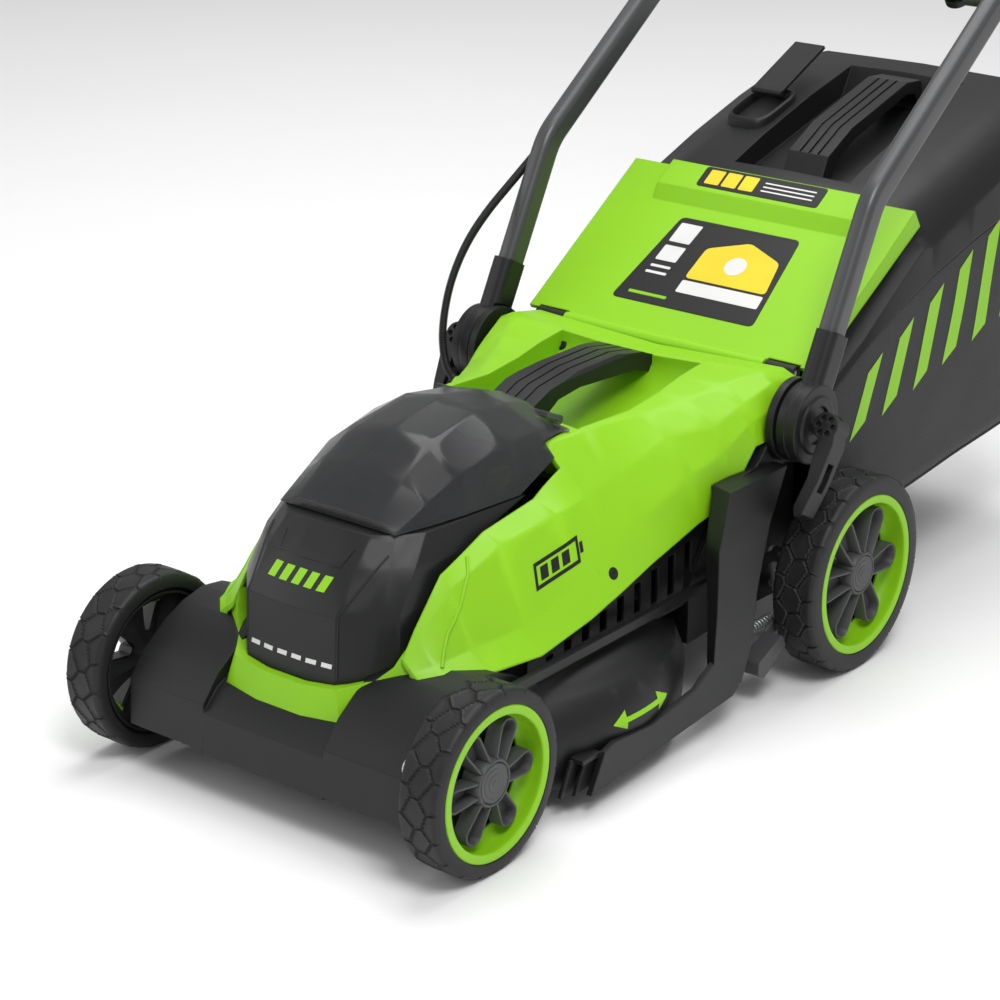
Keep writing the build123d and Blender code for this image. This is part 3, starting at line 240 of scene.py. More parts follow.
def smoky_clear(name):
    """Smoky polycarbonate: dark, a little clear where it is seen square on, with faint wipe marks."""
    n = Nodes(name)
    n.shader.inputs["Transmission Weight"].default_value = 0.0
    n.shader.inputs["IOR"].default_value = 1.58
    n.shader.inputs["Coat Weight"].default_value = 0.1
    n.shader.inputs["Coat Roughness"].default_value = 0.25
    n.shader.inputs["Specular IOR Level"].default_value = 0.35
    smear = n.noise(18.0, 5.0, 0.6)
    tint = n.ramp(smear, [(0.3, (0.030, 0.031, 0.033)), (0.7, (0.034, 0.035, 0.037))])
    n.link(tint, n.shader.inputs["Base Color"])
    n.link(n.span(smear, 0.22, 0.28), n.shader.inputs["Roughness"])
    layer = n.add("ShaderNodeLayerWeight")
    layer.inputs["Blend"].default_value = 0.35
    n.link(n.span(layer.outputs["Facing"], 0.62, 0.95), n.shader.inputs["Alpha"])
    return n.material


LIME = (0.252, 0.570, 0.0095)
MATERIALS = {
    "lime_plastic": plastic("lime_plastic", LIME, 0.40, depth=0.00002, edge=0.0022, tint=0.03, wear=0.05),
    "black_plastic": plastic("black_plastic", (0.0085, 0.0087, 0.0092), 0.42, edge=0.0018),
    "dark_plastic": plastic("dark_plastic", (0.0115, 0.0118, 0.0122), 0.38, edge=0.0016),
    "grey_plastic": plastic("grey_plastic", (0.060, 0.060, 0.063), 0.42),
    "wheel_plastic": plastic("wheel_plastic", (0.0135, 0.0137, 0.0142), 0.50, edge=0.0006),
    "clear_plastic": smoky_clear("clear_plastic"),
    "battery_plastic": plastic("battery_plastic", (0.016, 0.016, 0.017), 0.55, grain=300.0, depth=0.000002),
    "key_plastic": plastic("key_plastic", LIME, 0.35, depth=0.00003),
    "tube_paint": painted("tube_paint", (0.050, 0.051, 0.054), 0.38),
    "zinc_steel": metal("zinc_steel", (0.62, 0.63, 0.64), 0.28),
    "black_steel": plastic("black_steel", (0.010, 0.010, 0.011), 0.36, edge=0.0005),
    "blade_steel": painted("blade_steel", (0.03, 0.03, 0.032), 0.45),
    "winding_steel": metal("winding_steel", (0.55, 0.27, 0.13), 0.35),
    "case_aluminium": metal("case_aluminium", (0.55, 0.56, 0.57), 0.4),
    "foam": plastic("foam", (0.012, 0.012, 0.013), 0.75, grain=900.0, depth=0.0002),
    "bag_weave": weave("bag_weave"),
    "conduit_plastic": plastic("conduit_plastic", (0.011, 0.011, 0.012), 0.45, edge=0.0003),
    "label_white": plastic("label_white", (0.72, 0.72, 0.71), 0.45, 1800.0, 0.00001, 0.0001, wear=0.1),
    "label_yellow": plastic("label_yellow", (0.83, 0.60, 0.02), 0.45, 1800.0, 0.00001, 0.0001, wear=0.1),
}


def finish_with(thing, slot_name):
    """Give a piece the finish of one of the record's slots."""
    thing.data.materials.clear()
    thing.data.materials.append(MATERIALS[slot_name])


def smooth_by_angle(thing, degrees=28.0):
    """Smooth shading that keeps edges sharper than the angle."""
    thing.data.polygons.foreach_set("use_smooth", [True] * len(thing.data.polygons))
    weld = thing.modifiers.new("weld", "WELD")
    weld.merge_threshold = 0.000005
    split = thing.modifiers.new("split", "EDGE_SPLIT")
    split.split_angle = math.radians(degrees)


SMOOTH_ANGLES = {"hood": 40.0, "nose_cover": 30.0, "bag_lid": 34.0, "battery_lid": 44.0, "deck_shell": 36.0}
slot_of = {part["node"]: part["material_slot"] for part in frame["record"]["subparts"]}
for node_name, node in frame["nodes"].items():
    finish_with(node, slot_of[node_name])
    smooth_by_angle(node, SMOOTH_ANGLES.get(node_name, 28.0))


# ---------------------------------------------------------------- mesh helpers
def make_piece(name, points, faces, body, slot_name, replaces=(), angle=28.0, finish=None):
    """New mesh piece from points in metres, riding on a body and standing for CAD nodes.

    The finish is the slot's own unless another one is named.
    """
    mesh = bpy.data.meshes.new(name)
    mesh.from_pydata([tuple(p) for p in points], [], faces)
    mesh.validate()
    piece = bpy.data.objects.new(name, mesh)
    bpy.context.scene.collection.objects.link(piece)
    finish_with(piece, finish or slot_name)
    smooth_by_angle(piece, angle)
    if body:
        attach(piece, body)
    if replaces:
        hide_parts(*replaces)
    return piece


def ring_faces(first, second):
    """Quads between two closed loops of vertex numbers."""
    count = len(first)
    return [(first[i], first[(i + 1) % count], second[(i + 1) % count], second[i]) for i in range(count)]


def strip_faces(first, second):
    """Quads between two open rows of vertex numbers."""
    return [(first[i], first[i + 1], second[i + 1], second[i]) for i in range(len(first) - 1)]


class Builder:
    """Collects loops of points and the faces between them."""

    def __init__(self):
        self.points = []
        self.faces = []

    def row(self, points):
        start = len(self.points)
        self.points.extend(points)
        return list(range(start, start + len(points)))

    def bridge(self, first, second):
        self.faces.extend(ring_faces(first, second))

    def strip(self, first, second):
        self.faces.extend(strip_faces(first, second))

    def cap(self, row):
        self.faces.append(tuple(row))

    def skin(self, rows):
        """Quads between each closed loop and the next."""
        for first, second in zip(rows, rows[1:]):
            self.bridge(first, second)

    def sheet(self, rows):
        """Quads between each open row and the next."""
        for first, second in zip(rows, rows[1:]):
            self.strip(first, second)


# ---------------------------------------------------------------- wheels
def wheel_point(wheel, radius, angle, depth):
    """Point of a wheel; depth runs inward from its outer face."""
    x = wheel["side"] * (wheel["face"] - depth)
    z = wheel["z"] + radius * math.sin(angle)
    return Vector((x * MM, wheel["y"] + radius * MM * math.cos(angle), z * MM))


def wheel_loop(wheel, radius, depth, steps):
    """Circle of points about a wheel's axle."""
    return [wheel_point(wheel, radius, 2 * math.pi * i / steps, depth) for i in range(steps)]


def wheel_of(end, side_name):
    """Sizes of one wheel from its CAD nodes, in millimetres, with y in metres."""
    low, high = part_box(f"{end}_{side_name}_wheel")
    ring_low, ring_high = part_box(f"{end}_{side_name}_ring")
    return {
        "name": f"{end}_{side_name}",
        "side": 1 if side_name == "left" else -1,
        "face": max(abs(low.x), abs(high.x)) / MM,
        "width": (high.x - low.x) / MM,
        "radius": (high.z - low.z) / 2 / MM,
        "ring": (ring_high.z - ring_low.z) / 2 / MM,
        "y": (low.y + high.y) / 2,
        "z": (low.z + high.z) / 2 / MM,
    }


TREAD_STEPS = 720
BLOCK_PITCH = 25.0
GROOVE_DEPTH = 1.5
GROOVE_HALF = 0.9
WEB_THICKNESS = 2.6


def tread_seeds(girth, half_width):
    """Centres of the tread blocks: a middle row and two staggered outer rows."""
    count = round(girth / BLOCK_PITCH)
    pitch = girth / count
    seeds = []
    for i in range(-1, count + 1):
        lean = 2.2 if i % 2 else -2.2
        seeds.append(((i + 0.5) * pitch, lean))
        seeds.append((i * pitch + 3.0, half_width * 0.80 + lean))
        seeds.append((i * pitch - 3.0, -half_width * 0.80 + lean))
    return seeds


def tread_height(s, w, seeds):
    """0 on top of a block, down to -GROOVE_DEPTH in the grooves, with a small lip along each groove."""
    close = [(a, b) for a, b in seeds if abs(s - a) < 2.2 * BLOCK_PITCH]
    nearest = sorted(math.hypot(s - a, (w - b) * 1.15) for a, b in close)[:2]
    edge = (nearest[1] - nearest[0]) / 2
    if edge < GROOVE_HALF:
        return -GROOVE_DEPTH
    if edge < GROOVE_HALF + 1.4:
        return 0.0
    return -0.45


def make_wheel(wheel):
    """Treaded tyre with sidewalls, and its inner web."""
    b = Builder()
    r, width, ring = wheel["radius"], wheel["width"], wheel["ring"]
    half = width / 2
    seeds = tread_seeds(2 * math.pi * r, half)
    outline = [(ring, 6.0), (ring, 0.8), (ring + 0.8, 0.0), (r - 8.0, 0.0), (r - 5.0, 0.6)]
    tread_count = 26
    rows = []
    for radius, depth in outline:
        rows.append(b.row(wheel_loop(wheel, radius, depth, TREAD_STEPS)))
    for j in range(tread_count + 1):
        share = j / tread_count
        depth = 1.4 + (width - 2.8) * share
        from_edge = min(depth, width - depth)
        crown = r - 3.6 * max(0.0, 1 - from_edge / 5.0) ** 2
        points = []
        for i in range(TREAD_STEPS):
            angle = 2 * math.pi * i / TREAD_STEPS
            lift = tread_height(angle * r, depth - half, seeds)
            points.append(wheel_point(wheel, crown + lift, angle, depth))
        rows.append(b.row(points))
    inner = [(r - 5.0, width - 0.4), (r - 8.0, width), (ring + 0.8, width), (ring - 0.5, width - 1.0),
             (ring - 0.5, width - 4.0), (ring - 3.0, width - 4.6), (ring - 3.0, width - 2.0),
             (ring - 5.0, width - 2.0), (ring - 6.0, 24.0), (ring - 0.2, 22.2), (ring - 0.2, 6.0)]
    for radius, depth in inner:
        rows.append(b.row(wheel_loop(wheel, radius, depth, TREAD_STEPS)))
    b.skin(rows)
    make_piece(f"{wheel['name']}_tyre", b.points, b.faces, f"{wheel['name']}_wheel", "wheel_plastic",
               [f"{wheel['name']}_wheel"], 32)
    make_web(wheel)


def make_web(wheel):
    """Folded inner disc with six openings and a hub."""
    b = Builder()
    steps, rings = 144, 8
    hub, rim = 15.0, wheel["ring"] - 5.5
    web_depth = wheel["width"] - 12.0
    for face_shift in (0.0, WEB_THICKNESS):
        rows = []
        for j in range(rings + 1):
            share = j / rings
            radius = hub + (rim - hub) * share
            points = []
            for i in range(steps):
                angle = 2 * math.pi * i / steps
                fold = 2.4 * abs(math.sin(6 * angle)) * math.sin(math.pi * share)
                points.append(wheel_point(wheel, radius, angle, web_depth + 5.0 * share - fold - face_shift))
            rows.append(b.row(points))
        for j in range(rings):
            for i in range(steps):
                turn = (i + 0.5) / steps * 6 % 1.0
                in_opening = 0.28 < turn < 0.72 and 2 <= j <= 6
                if in_opening:
                    continue
                k = (i + 1) % steps
                b.faces.append((rows[j][i], rows[j][k], rows[j + 1][k], rows[j + 1][i]))
    make_piece(f"{wheel['name']}_web", b.points, b.faces, f"{wheel['name']}_wheel", "wheel_plastic", (), 40)


def turned(b, wheel, profile, steps=96, closed=False):
    """Surface of revolution from (radius, depth) points."""
    rows = []
    for radius, depth in profile:
        rows.append(b.row(wheel_loop(wheel, radius, depth, steps)))
    b.skin(rows)
    if closed:
        b.bridge(rows[-1], rows[0])


def make_ring(wheel):
    """Lime ring: flat lip, rounded edge and a dished wall down to the web."""
    ring = wheel["ring"]
    b = Builder()
    # (inward from the ring's outer radius, depth)
    profile = [(0.1, 22.0), (0.1, 0.9), (0.9, 0.1), (6.6, 0.1), (7.6, 0.7), (8.0, 2.4), (6.9, 7.0),
               (7.2, 12.0), (9.0, 17.0), (12.0, 19.5), (15.5, 20.6), (15.5, 22.0)]
    turned(b, wheel, [(ring - inward, depth) for inward, depth in profile], 144, closed=True)
    make_piece(f"{wheel['name']}_lime_ring", b.points, b.faces, f"{wheel['name']}_wheel", "lime_plastic",
               [f"{wheel['name']}_ring"], 35)


def finger_outline(start, end, narrow, wide, inset):
    """Closed (u, v) outline of a rounded finger along u."""
    half_in, half_out = narrow - inset, wide - inset
    tip = end - inset
    nose = half_out * 0.9
    points = [(start + inset, -half_in)]
    steps = 12
    for i in range(steps + 1):
        a = -math.pi / 2 + math.pi * i / steps
        points.append((tip - nose + nose * math.cos(a), half_out * math.sin(a)))
    points.append((start + inset, half_in))
    return points


# (radius, depth)
CAP_PROFILE = [(0.05, 3.2), (2.6, 3.2), (3.0, 3.7), (7.2, 3.5), (7.7, 4.0), (11.8, 3.8), (12.3, 4.3),
               (15.8, 4.1), (16.3, 4.7), (16.9, 4.7), (17.3, 3.9), (19.0, 4.3), (20.2, 6.0), (21.0, 12.0),
               (21.0, 20.5)]
# (inset from the outline, depth)
FINGER_LEVELS = [(0.0, 19.5), (0.0, 8.2), (0.5, 7.2), (1.9, 7.2), (2.4, 8.0), (3.4, 16.0)]


def make_hubcap(wheel):
    """Round cap with rings, and six hollow fingers that reach to the lime ring."""
    b = Builder()
    turned(b, wheel, CAP_PROFILE)
    reach = wheel["ring"] - 11.5
    scale = reach / 52.0
    for k in range(6):
        turn = math.radians(60 * k)
        rims = []
        for inset, depth in FINGER_LEVELS:
            loop = []
            for u, v in finger_outline(15.5, reach, 7.0 * scale, 10.4 * scale, inset):
                radius, angle = math.hypot(u, v), math.atan2(v, u) + turn
                rise = 2.6 * max(0.0, 1 - (radius - 17) / 16) if depth < 15 else 0.0
                loop.append(wheel_point(wheel, radius, angle, depth - rise))
            rims.append(b.row(loop))
        b.skin(rims)
        b.cap(rims[-1])
    make_piece(f"{wheel['name']}_cap", b.points, b.faces, f"{wheel['name']}_wheel", "grey_plastic",
               [f"{wheel['name']}_hubcap"], 30)


for end in ("front", "rear"):
    for side_name in ("left", "right"):
        a_wheel = wheel_of(end, side_name)
        make_wheel(a_wheel)
        make_ring(a_wheel)
        make_hubcap(a_wheel)


# ---------------------------------------------------------------- cable conduit
LOWER_ROUTE = [
    (-146, 386, 212), (-172, 391, 219), (-187, 399, 242), (-191, 406, 270), (-191, 417, 302),
    (-191, 439, 332), (-191, 470, 356), (-190, 508, 378), (-190, 551, 402), (-190, 597, 434),
]
UPPER_ROUTE = [
    (-190, 597, 434), (-190, 645, 467.4), (-190.5, 696, 505), (-190, 742, 536), (-188, 782, 565),
    (-179, 822, 597), (-171, 868.1, 634.2), (-171, 1232.5, 891.6),
]
RIB_PITCH = 1.6
RIB_RADIUS, RIB_FLOOR = 4.0, 3.3


def spline_points(name, route):
    """Points along the smooth curve that has the route as its control points."""
    curve = bpy.data.curves.new(name, "CURVE")
    curve.dimensions = "3D"
    curve.resolution_u = 24
    spline = curve.splines.new("NURBS")
    spline.points.add(len(route) - 1)
    for point, place in zip(spline.points, route):
        point.co = (*at(*place), 1.0)
    spline.order_u = 3
    spline.use_endpoint_u = True
    holder = bpy.data.objects.new(name, curve)
    bpy.context.scene.collection.objects.link(holder)
    line = bpy.data.meshes.new_from_object(holder)
    points = [v.co.copy() for v in line.vertices]
    bpy.data.objects.remove(holder)
    return points


def evenly(points, step):
    """The same line with its points a fixed step apart."""
    spaced = [points[0]]
    spare = 0.0
    for first, second in zip(points, points[1:]):
        length = (second - first).length
        place = step - spare
        while place < length:
            spaced.append(first.lerp(second, place / length))
            place += step
        spare = (spare + length) % step
    return spaced


def frames_along(points):
    """(point, side, up) at each point, turning as little as it can."""
    frames = []
    up = Vector((1, 0, 0))
    for i, point in enumerate(points):
        ahead = (points[min(i + 1, len(points) - 1)] - points[max(i - 1, 0)]).normalized()
        side = ahead.cross(up).normalized()
        up = side.cross(ahead).normalized()
        frames.append((point, side, up))
    return frames


def sweep(b, line, radii, sides):
    """Capped round skin along a line of points; the radii, in millimetres, repeat along it."""
    rows = []
    for i, (point, side, up) in enumerate(frames_along(line)):
        radius = radii[i % len(radii)] * MM
        loop = []
        for j in range(sides):
            a = 2 * math.pi * j / sides
            loop.append(point + (side * math.cos(a) + up * math.sin(a)) * radius)
        rows.append(b.row(loop))
    b.skin(rows)
    b.cap(rows[0])
    b.cap(rows[-1])


def make_conduit(name, route, node):
    """Corrugated sleeve: ribs a fixed pitch apart along the route."""
    b = Builder()
    line = evenly(spline_points(name + "_line", route), RIB_PITCH / 4 * MM)
    sweep(b, line, [RIB_RADIUS, RIB_RADIUS, RIB_FLOOR, RIB_FLOOR], 12)
    piece = make_piece(name, b.points, b.faces, None, "conduit_plastic", [node], 60)
    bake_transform(piece)


make_conduit("conduit_sleeve_low", LOWER_ROUTE,
             "conduit_lower")
make_conduit("conduit_sleeve_high", UPPER_ROUTE,
             "conduit_upper")


# ---------------------------------------------------------------- grass box
LID_LINE = [
    (503, 270, 240), (560, 304, 272), (620, 342, 296), (660, 366, 309), (676, 376, 314), (740, 398, 330),
    (820, 421, 345), (890, 437, 356), (925, 443, 362), (940, 428, 366),
]
FLOOR_LINE = [(503, 100), (560, 99), (620, 101), (660, 103), (740, 110), (820, 115), (890, 121), (925, 128),
              (940, 160)]


def on_line(line, y, column):
    """Value of a column of a (y, ...) table at y, on straight pieces."""
    for first, second in zip(line, line[1:]):
        if y <= second[0]:
            share = max(0.0, (y - first[0]) / (second[0] - first[0]))
            return first[column] + (second[column] - first[column]) * share
    return line[-1][column]


def bag_half_width(y):
    """Half width of the box at y, drawn in a little at both ends."""
    if y < 560:
        return 168 - (560 - y) * 0.05
    if y > 890:
        return 168 - (y - 890) * 0.2
    return 168.0


def wrinkle(a, b, seed):
    """Slow uneven waves between -1 and 1."""
    slow = math.sin(a * 0.021 + seed) * math.cos(b * 0.034 + 1.3 * seed)
    middle = 0.6 * math.sin(a * 0.047 + b * 0.031 + 2.1 * seed)
    quick = 0.35 * math.sin(b * 0.09 - a * 0.06 + seed)
    return (slow + middle + quick) / 1.95


CORNER_R = 26.0
FABRIC_FRONT, FABRIC_BACK = 503.0, 937.0
BACK_PANEL_Y, BACK_PANEL_Z = 939.0, 262.0
FABRIC_THICKNESS = 0.0012


def bag_side(y, z, out=0.0):
    """Point on the left side of the fabric, standing out by a little."""
    skirt, floor = on_line(LID_LINE, y, 2), on_line(FLOOR_LINE, y, 1)
    share = max(0.0, min(1.0, (skirt - z) / (skirt - floor)))
    swell = 3.2 * math.sin(math.pi * share) ** 0.8 * math.sin(math.pi * min(1.0, (y - 500) / 440)) ** 0.5
    x = bag_half_width(y) - 1.5 + swell + 1.1 * wrinkle(y, z, 1.0) * math.sin(math.pi * share)
    low = floor + CORNER_R
    if z < low:
        drop = min(1.0, (low - z) / CORNER_R)
        x -= CORNER_R * (1 - math.sqrt(max(0.0, 1 - drop * drop)))
    return x + out


def bag_loop(y):
    """Points of the fabric's section at y from the left top edge, round the floor, to the right."""
    skirt, floor = on_line(LID_LINE, y, 2) - 2.0, on_line(FLOOR_LINE, y, 1)
    side_steps, corner_steps, floor_steps = 22, 10, 26
    half = []
    for i in range(side_steps):
        z = skirt + (floor + CORNER_R - skirt) * i / side_steps
        half.append((bag_side(y, z), z))
    for i in range(corner_steps):
        drop = math.sin(math.pi / 2 * i / corner_steps)
        z = floor + CORNER_R * (1 - drop)
        half.append((bag_side(y, z), z))
    edge = half[-1][0]
    centre = []
    for i in range(floor_steps + 1):
        x = edge - 2 * edge * i / floor_steps
        sag = 2.4 * math.sin(math.pi * i / floor_steps) + 0.8 * wrinkle(y, x, 2.0)
        centre.append((x, floor - sag))
    mirrored = [(-x, z) for x, z in reversed(half[:-1])]
    return [at(x, y, z) for x, z in half[:-1] + centre + mirrored]


def make_bag_fabric():
    """Woven tub: one lofted shell that bellies at the sides, sags at the floor and is open in front."""
    b = Builder()
    stations = [FABRIC_FRONT + (FABRIC_BACK - FABRIC_FRONT) * i / 110 for i in range(111)]
    rows = [b.row(bag_loop(y)) for y in stations]
    b.sheet(rows)
    rim = [b.points[k].copy() for k in rows[-1]]
    back = [rows[-1]]
    centre_z = BACK_PANEL_Z * MM
    for share in (0.25, 0.5, 0.75, 0.93):
        y = at(0, BACK_PANEL_Y + 1.6 * math.sin(math.pi * share), 0).y
        keep = 1 - share
        back.append(b.row([Vector((p.x * keep, y, centre_z + (p.z - centre_z) * keep)) for p in rim]))
    b.skin(back)
    b.cap(back[-1])
    piece = make_piece("grass_box_fabric", b.points, b.faces, "grass_box", "bag_weave", ["bag_fabric"], 50)
    thick = piece.modifiers.new("thickness", "SOLIDIFY")
    thick.thickness = FABRIC_THICKNESS
    thick.offset = -1
    piece.modifiers.move(len(piece.modifiers) - 1, 0)


make_bag_fabric()


def make_bead(name, line, radius, body, slot_name):
    """Thin round bead along a line of points."""
    b = Builder()
    sweep(b, line, [radius], 8)
    make_piece(name, b.points, b.faces, body, slot_name, (), 60)


PIPING_STEPS = 60
for side_name, side in (("left", 1), ("right", -1)):
    places = []
    for i in range(PIPING_STEPS + 1):
        y = 506 + (934 - 506) * i / PIPING_STEPS
        z = on_line(FLOOR_LINE, y, 1) + 9.0
        places.append(at(side * (bag_side(y, z) + 0.6), y, z))
    make_bead(f"bag_piping_{side_name}", places, 1.5, "grass_box", "bag_weave")


def patch_on_side(name, corners, slot_name, lift=0.35, steps=14):
    """Printed shape on the left side of the fabric: a (y, z) quadrilateral that follows its surface."""
    b = Builder()
    (y0, z0), (y1, z1), (y2, z2), (y3, z3) = corners
    rows = []
    for i in range(steps + 1):
        s = i / steps
        row = []
        for j in range(steps + 1):
            t = j / steps
            y = (y0 * (1 - s) + y1 * s) * (1 - t) + (y3 * (1 - s) + y2 * s) * t
            z = (z0 * (1 - s) + z1 * s) * (1 - t) + (z3 * (1 - s) + z2 * s) * t
            row.append(at(bag_side(y, z, lift), y, z))
        rows.append(b.row(row))
    b.sheet(rows)
    return make_piece(name, b.points, b.faces, "grass_box", slot_name, (), 60)


def bars_on_bag():
    """Row of slanted bars in place of any name."""
    for i in range(7):
        y0 = 540 + i * 52
        low, high = 190 + i * 10, 262 + i * 20
        wide, lean = 24, 26
        corners = [(y0, low + 0.62 * i), (y0 + wide, low + 14),
                   (y0 + wide + lean, high), (y0 + lean, high - 14)]
        for side_name in ("left", "right"):
            patch = patch_on_side(f"bag_bar_{side_name}_{i}", corners, "lime_plastic")
            if side_name == "right":
                for vertex in patch.data.vertices:
                    vertex.co.x = -vertex.co.x
                patch.data.flip_normals()


bars_on_bag()


# ---------------------------------------------------------------- plates and marks
def plate(name, outline, place, thick, body, slot_name, finish=None):
    """Thin plate: an outline in (a, b), put in the row frame by place(a, b, lift), raised by thick mm."""
    b = Builder()
    low = b.row([place(u, v, 0.0) for u, v in outline])
    high = b.row([place(u, v, thick) for u, v in outline])
    b.bridge(low, high)
    b.cap(high)
    b.cap(list(reversed(low)))
    make_piece(name, b.points, b.faces, body, slot_name, (), 30.0, finish)


def rounded(corners, radius, steps=5):
    """Outline through corners with each one rounded."""
    points = []
    count = len(corners)
    for i, corner in enumerate(corners):
        here = Vector(corner)
        before = (Vector(corners[i - 1]) - here).normalized() * radius
        after = (Vector(corners[(i + 1) % count]) - here).normalized() * radius
        for j in range(steps + 1):
            t = j / steps
            points.append(tuple(here + before * (1 - t) ** 2 + after * t ** 2))
    return points


FLAP_HINGE_Y, FLAP_HINGE_Z = 487.0, 263.0
FLAP_SLOPE = math.radians(32.7)
FLAP_FACE, STRIP_FACE = 3.5, 12.0
LABEL_THICKNESS, PRINT_THICKNESS = 0.4, 0.2


def on_flap(lift):
    """Placing function for a face of the rear flap; a runs across, b up the flap from its hinge."""
    def place(a, b, rise):
        out = lift + rise
        return at(a, FLAP_HINGE_Y + b * math.cos(FLAP_SLOPE) - out * math.sin(FLAP_SLOPE),
                  FLAP_HINGE_Z + b * math.sin(FLAP_SLOPE) + out * math.cos(FLAP_SLOPE))
    return place


def flap_plate(name, outline, lift, thick=PRINT_THICKNESS, finish=None):
    """Plate on a face of the flap."""
    plate(name, outline, on_flap(lift), thick, "rear_flap", "dark_plastic", finish)


def flap_marks():
    """Blank generic label plates on the flap: shapes only, no words."""
    label = rounded([(-64, 143), (67, 143), (76, 36), (-80, 36)], 6)
    flap_plate("flap_label", label, FLAP_FACE, LABEL_THICKNESS)
    marks = [
        ("warning", [(-18, 112), (22, 128), (62, 112), (68, 74), (-20, 74)], 5, "label_yellow"),
        ("sign", [(-20, 71), (68, 71), (69, 56), (-20, 56)], 2, "label_white"),
        ("code", [(-60, 136), (-36, 136), (-38, 112), (-61, 112)], 1.5, "label_white"),
        ("class", [(-61, 107), (-38, 107), (-39, 88), (-62, 88)], 1.5, "label_white"),
        ("line_one", [(-62, 82), (-40, 82), (-40, 79), (-62, 79)], 1, "label_white"),
        ("line_two", [(-63, 74), (-40, 74), (-40, 71), (-63, 71)], 1, "label_white"),
        ("line_three", [(-66, 48), (-24, 48), (-24, 44.5), (-66, 44.5)], 1, "lime_plastic"),
    ]
    on_label = FLAP_FACE + LABEL_THICKNESS
    for name, corners, radius, finish in marks:
        flap_plate(f"flap_{name}", rounded(corners, radius), on_label, finish=finish)
    disc = [(22 + 11 * math.cos(i * math.pi / 9), 98 + 11 * math.sin(i * math.pi / 9)) for i in range(18)]
    flap_plate("flap_disc", disc, on_label + PRINT_THICKNESS, finish="label_white")
    strip = rounded([(-67, 202), (67, 202), (67, 177), (-67, 177)], 4)
    flap_plate("strip_label", strip, STRIP_FACE, LABEL_THICKNESS)
    on_strip = STRIP_FACE + LABEL_THICKNESS
    for i in range(3):
        a = -60 + 19 * i
        square = rounded([(a, 199), (a + 16, 199), (a + 16, 181), (a, 181)], 1.5)
        flap_plate(f"strip_square_{i}", square, on_strip, finish="label_yellow")
    for i in range(3):
        low = 184 + 5 * i
        line = rounded([(2, low + 1.6), (58, low + 1.6), (58, low), (2, low)], 0.6)
        flap_plate(f"strip_line_{i}", line, on_strip, finish="label_white")


flap_marks()


# ---------------------------------------------------------------- marks on CAD surfaces
def from_left(a, b):
    """Ray to the left side at y = a, z = b."""
    return at(400, a, b), Vector((-1, 0, 0))


def from_right(a, b):
    """Ray to the right side at y = a, z = b."""
    return at(-400, a, b), Vector((1, 0, 0))


def from_front(a, b):
    """Ray to the nose at x = a, z = b."""
    return at(a, -300, b), Vector((0, 1, 0))


def from_top(a, b):
    """Ray down to the top at x = a, y = b."""
    return at(a, b, 600), Vector((0, 0, -1))


def surface_of(node):
    """Function that sends a ray to a CAD node and gives the place it meets and the normal there, or None."""
    target = frame["nodes"][node]
    tree = BVHTree.FromObject(target, bpy.context.evaluated_depsgraph_get())
    to_local, to_world = target.matrix_world.inverted(), target.matrix_world

    def meet(start, direction):
        hit, normal, _, _ = tree.ray_cast(to_local @ start, to_local.to_3x3() @ direction)
        if hit is None:
            return None
        return to_world @ hit, (to_world.to_3x3() @ normal).normalized()
    return meet


PRINT_LIFT = 0.25
PRINT_STEPS = 10


def drape(name, corners, ray, node, slot_name, finish):
    """Quadrilateral (a, b) printed on a CAD node: ray(a, b) gives a start point and a direction."""
    meet = surface_of(node)
    b = Builder()
    rows = []
    for i in range(PRINT_STEPS + 1):
        low = Vector(corners[0]).lerp(Vector(corners[1]), i / PRINT_STEPS)
        high = Vector(corners[3]).lerp(Vector(corners[2]), i / PRINT_STEPS)
        row = []
        for j in range(PRINT_STEPS + 1):
            start, direction = ray(*low.lerp(high, j / PRINT_STEPS))
            met = meet(start, direction)
            if met is None:
                return
            row.append(met[0] - direction * PRINT_LIFT * MM)
        rows.append(b.row(row))
    b.sheet(rows)
    make_piece(name, b.points, b.faces, "deck", slot_name, (), 60, finish)


def surface_bead(name, places, ray, node, slot_name, radius):
    """Half-sunk bead that follows a CAD surface through (a, b) places."""
    meet = surface_of(node)
    met = [meet(*ray(a, b)) for a, b in places]
    line = [found[0] for found in met if found]
    if len(line) > 1:
        make_bead(name, line, radius, "deck", slot_name)


def slanted(origin, along_slope, lean, rects):
    """Quadrilaterals from (u0, u1, v0, v1) boxes, slanted round an origin."""
    quads = []
    for u0, u1, v0, v1 in rects:
        quads.append([(origin[0] + u + v * lean, origin[1] + v + u * along_slope)
                      for u, v in ((u0, v0), (u1, v0), (u1, v1), (u0, v1))])
    return quads


BATTERY_SIGN = [(0, 54, 0, 3), (0, 54, 17, 20), (0, 3, 3, 17), (51, 54, 3, 17), (55, 59, 6, 14),
                (7, 16, 5, 15), (20, 29, 5, 15), (33, 42, 5, 15)]
NOSE_BARS = [(-33 + 13 * i, -25 + 13 * i, 0, 11) for i in range(5)]
NOSE_DASHES = [(-42 + 15 * i, -32 + 15 * i, 0, 4) for i in range(6)]
ARROW_BAR = [(12, 56, 7, 11)]
ARROW_HEADS = [(156, 172), (232, 216)]


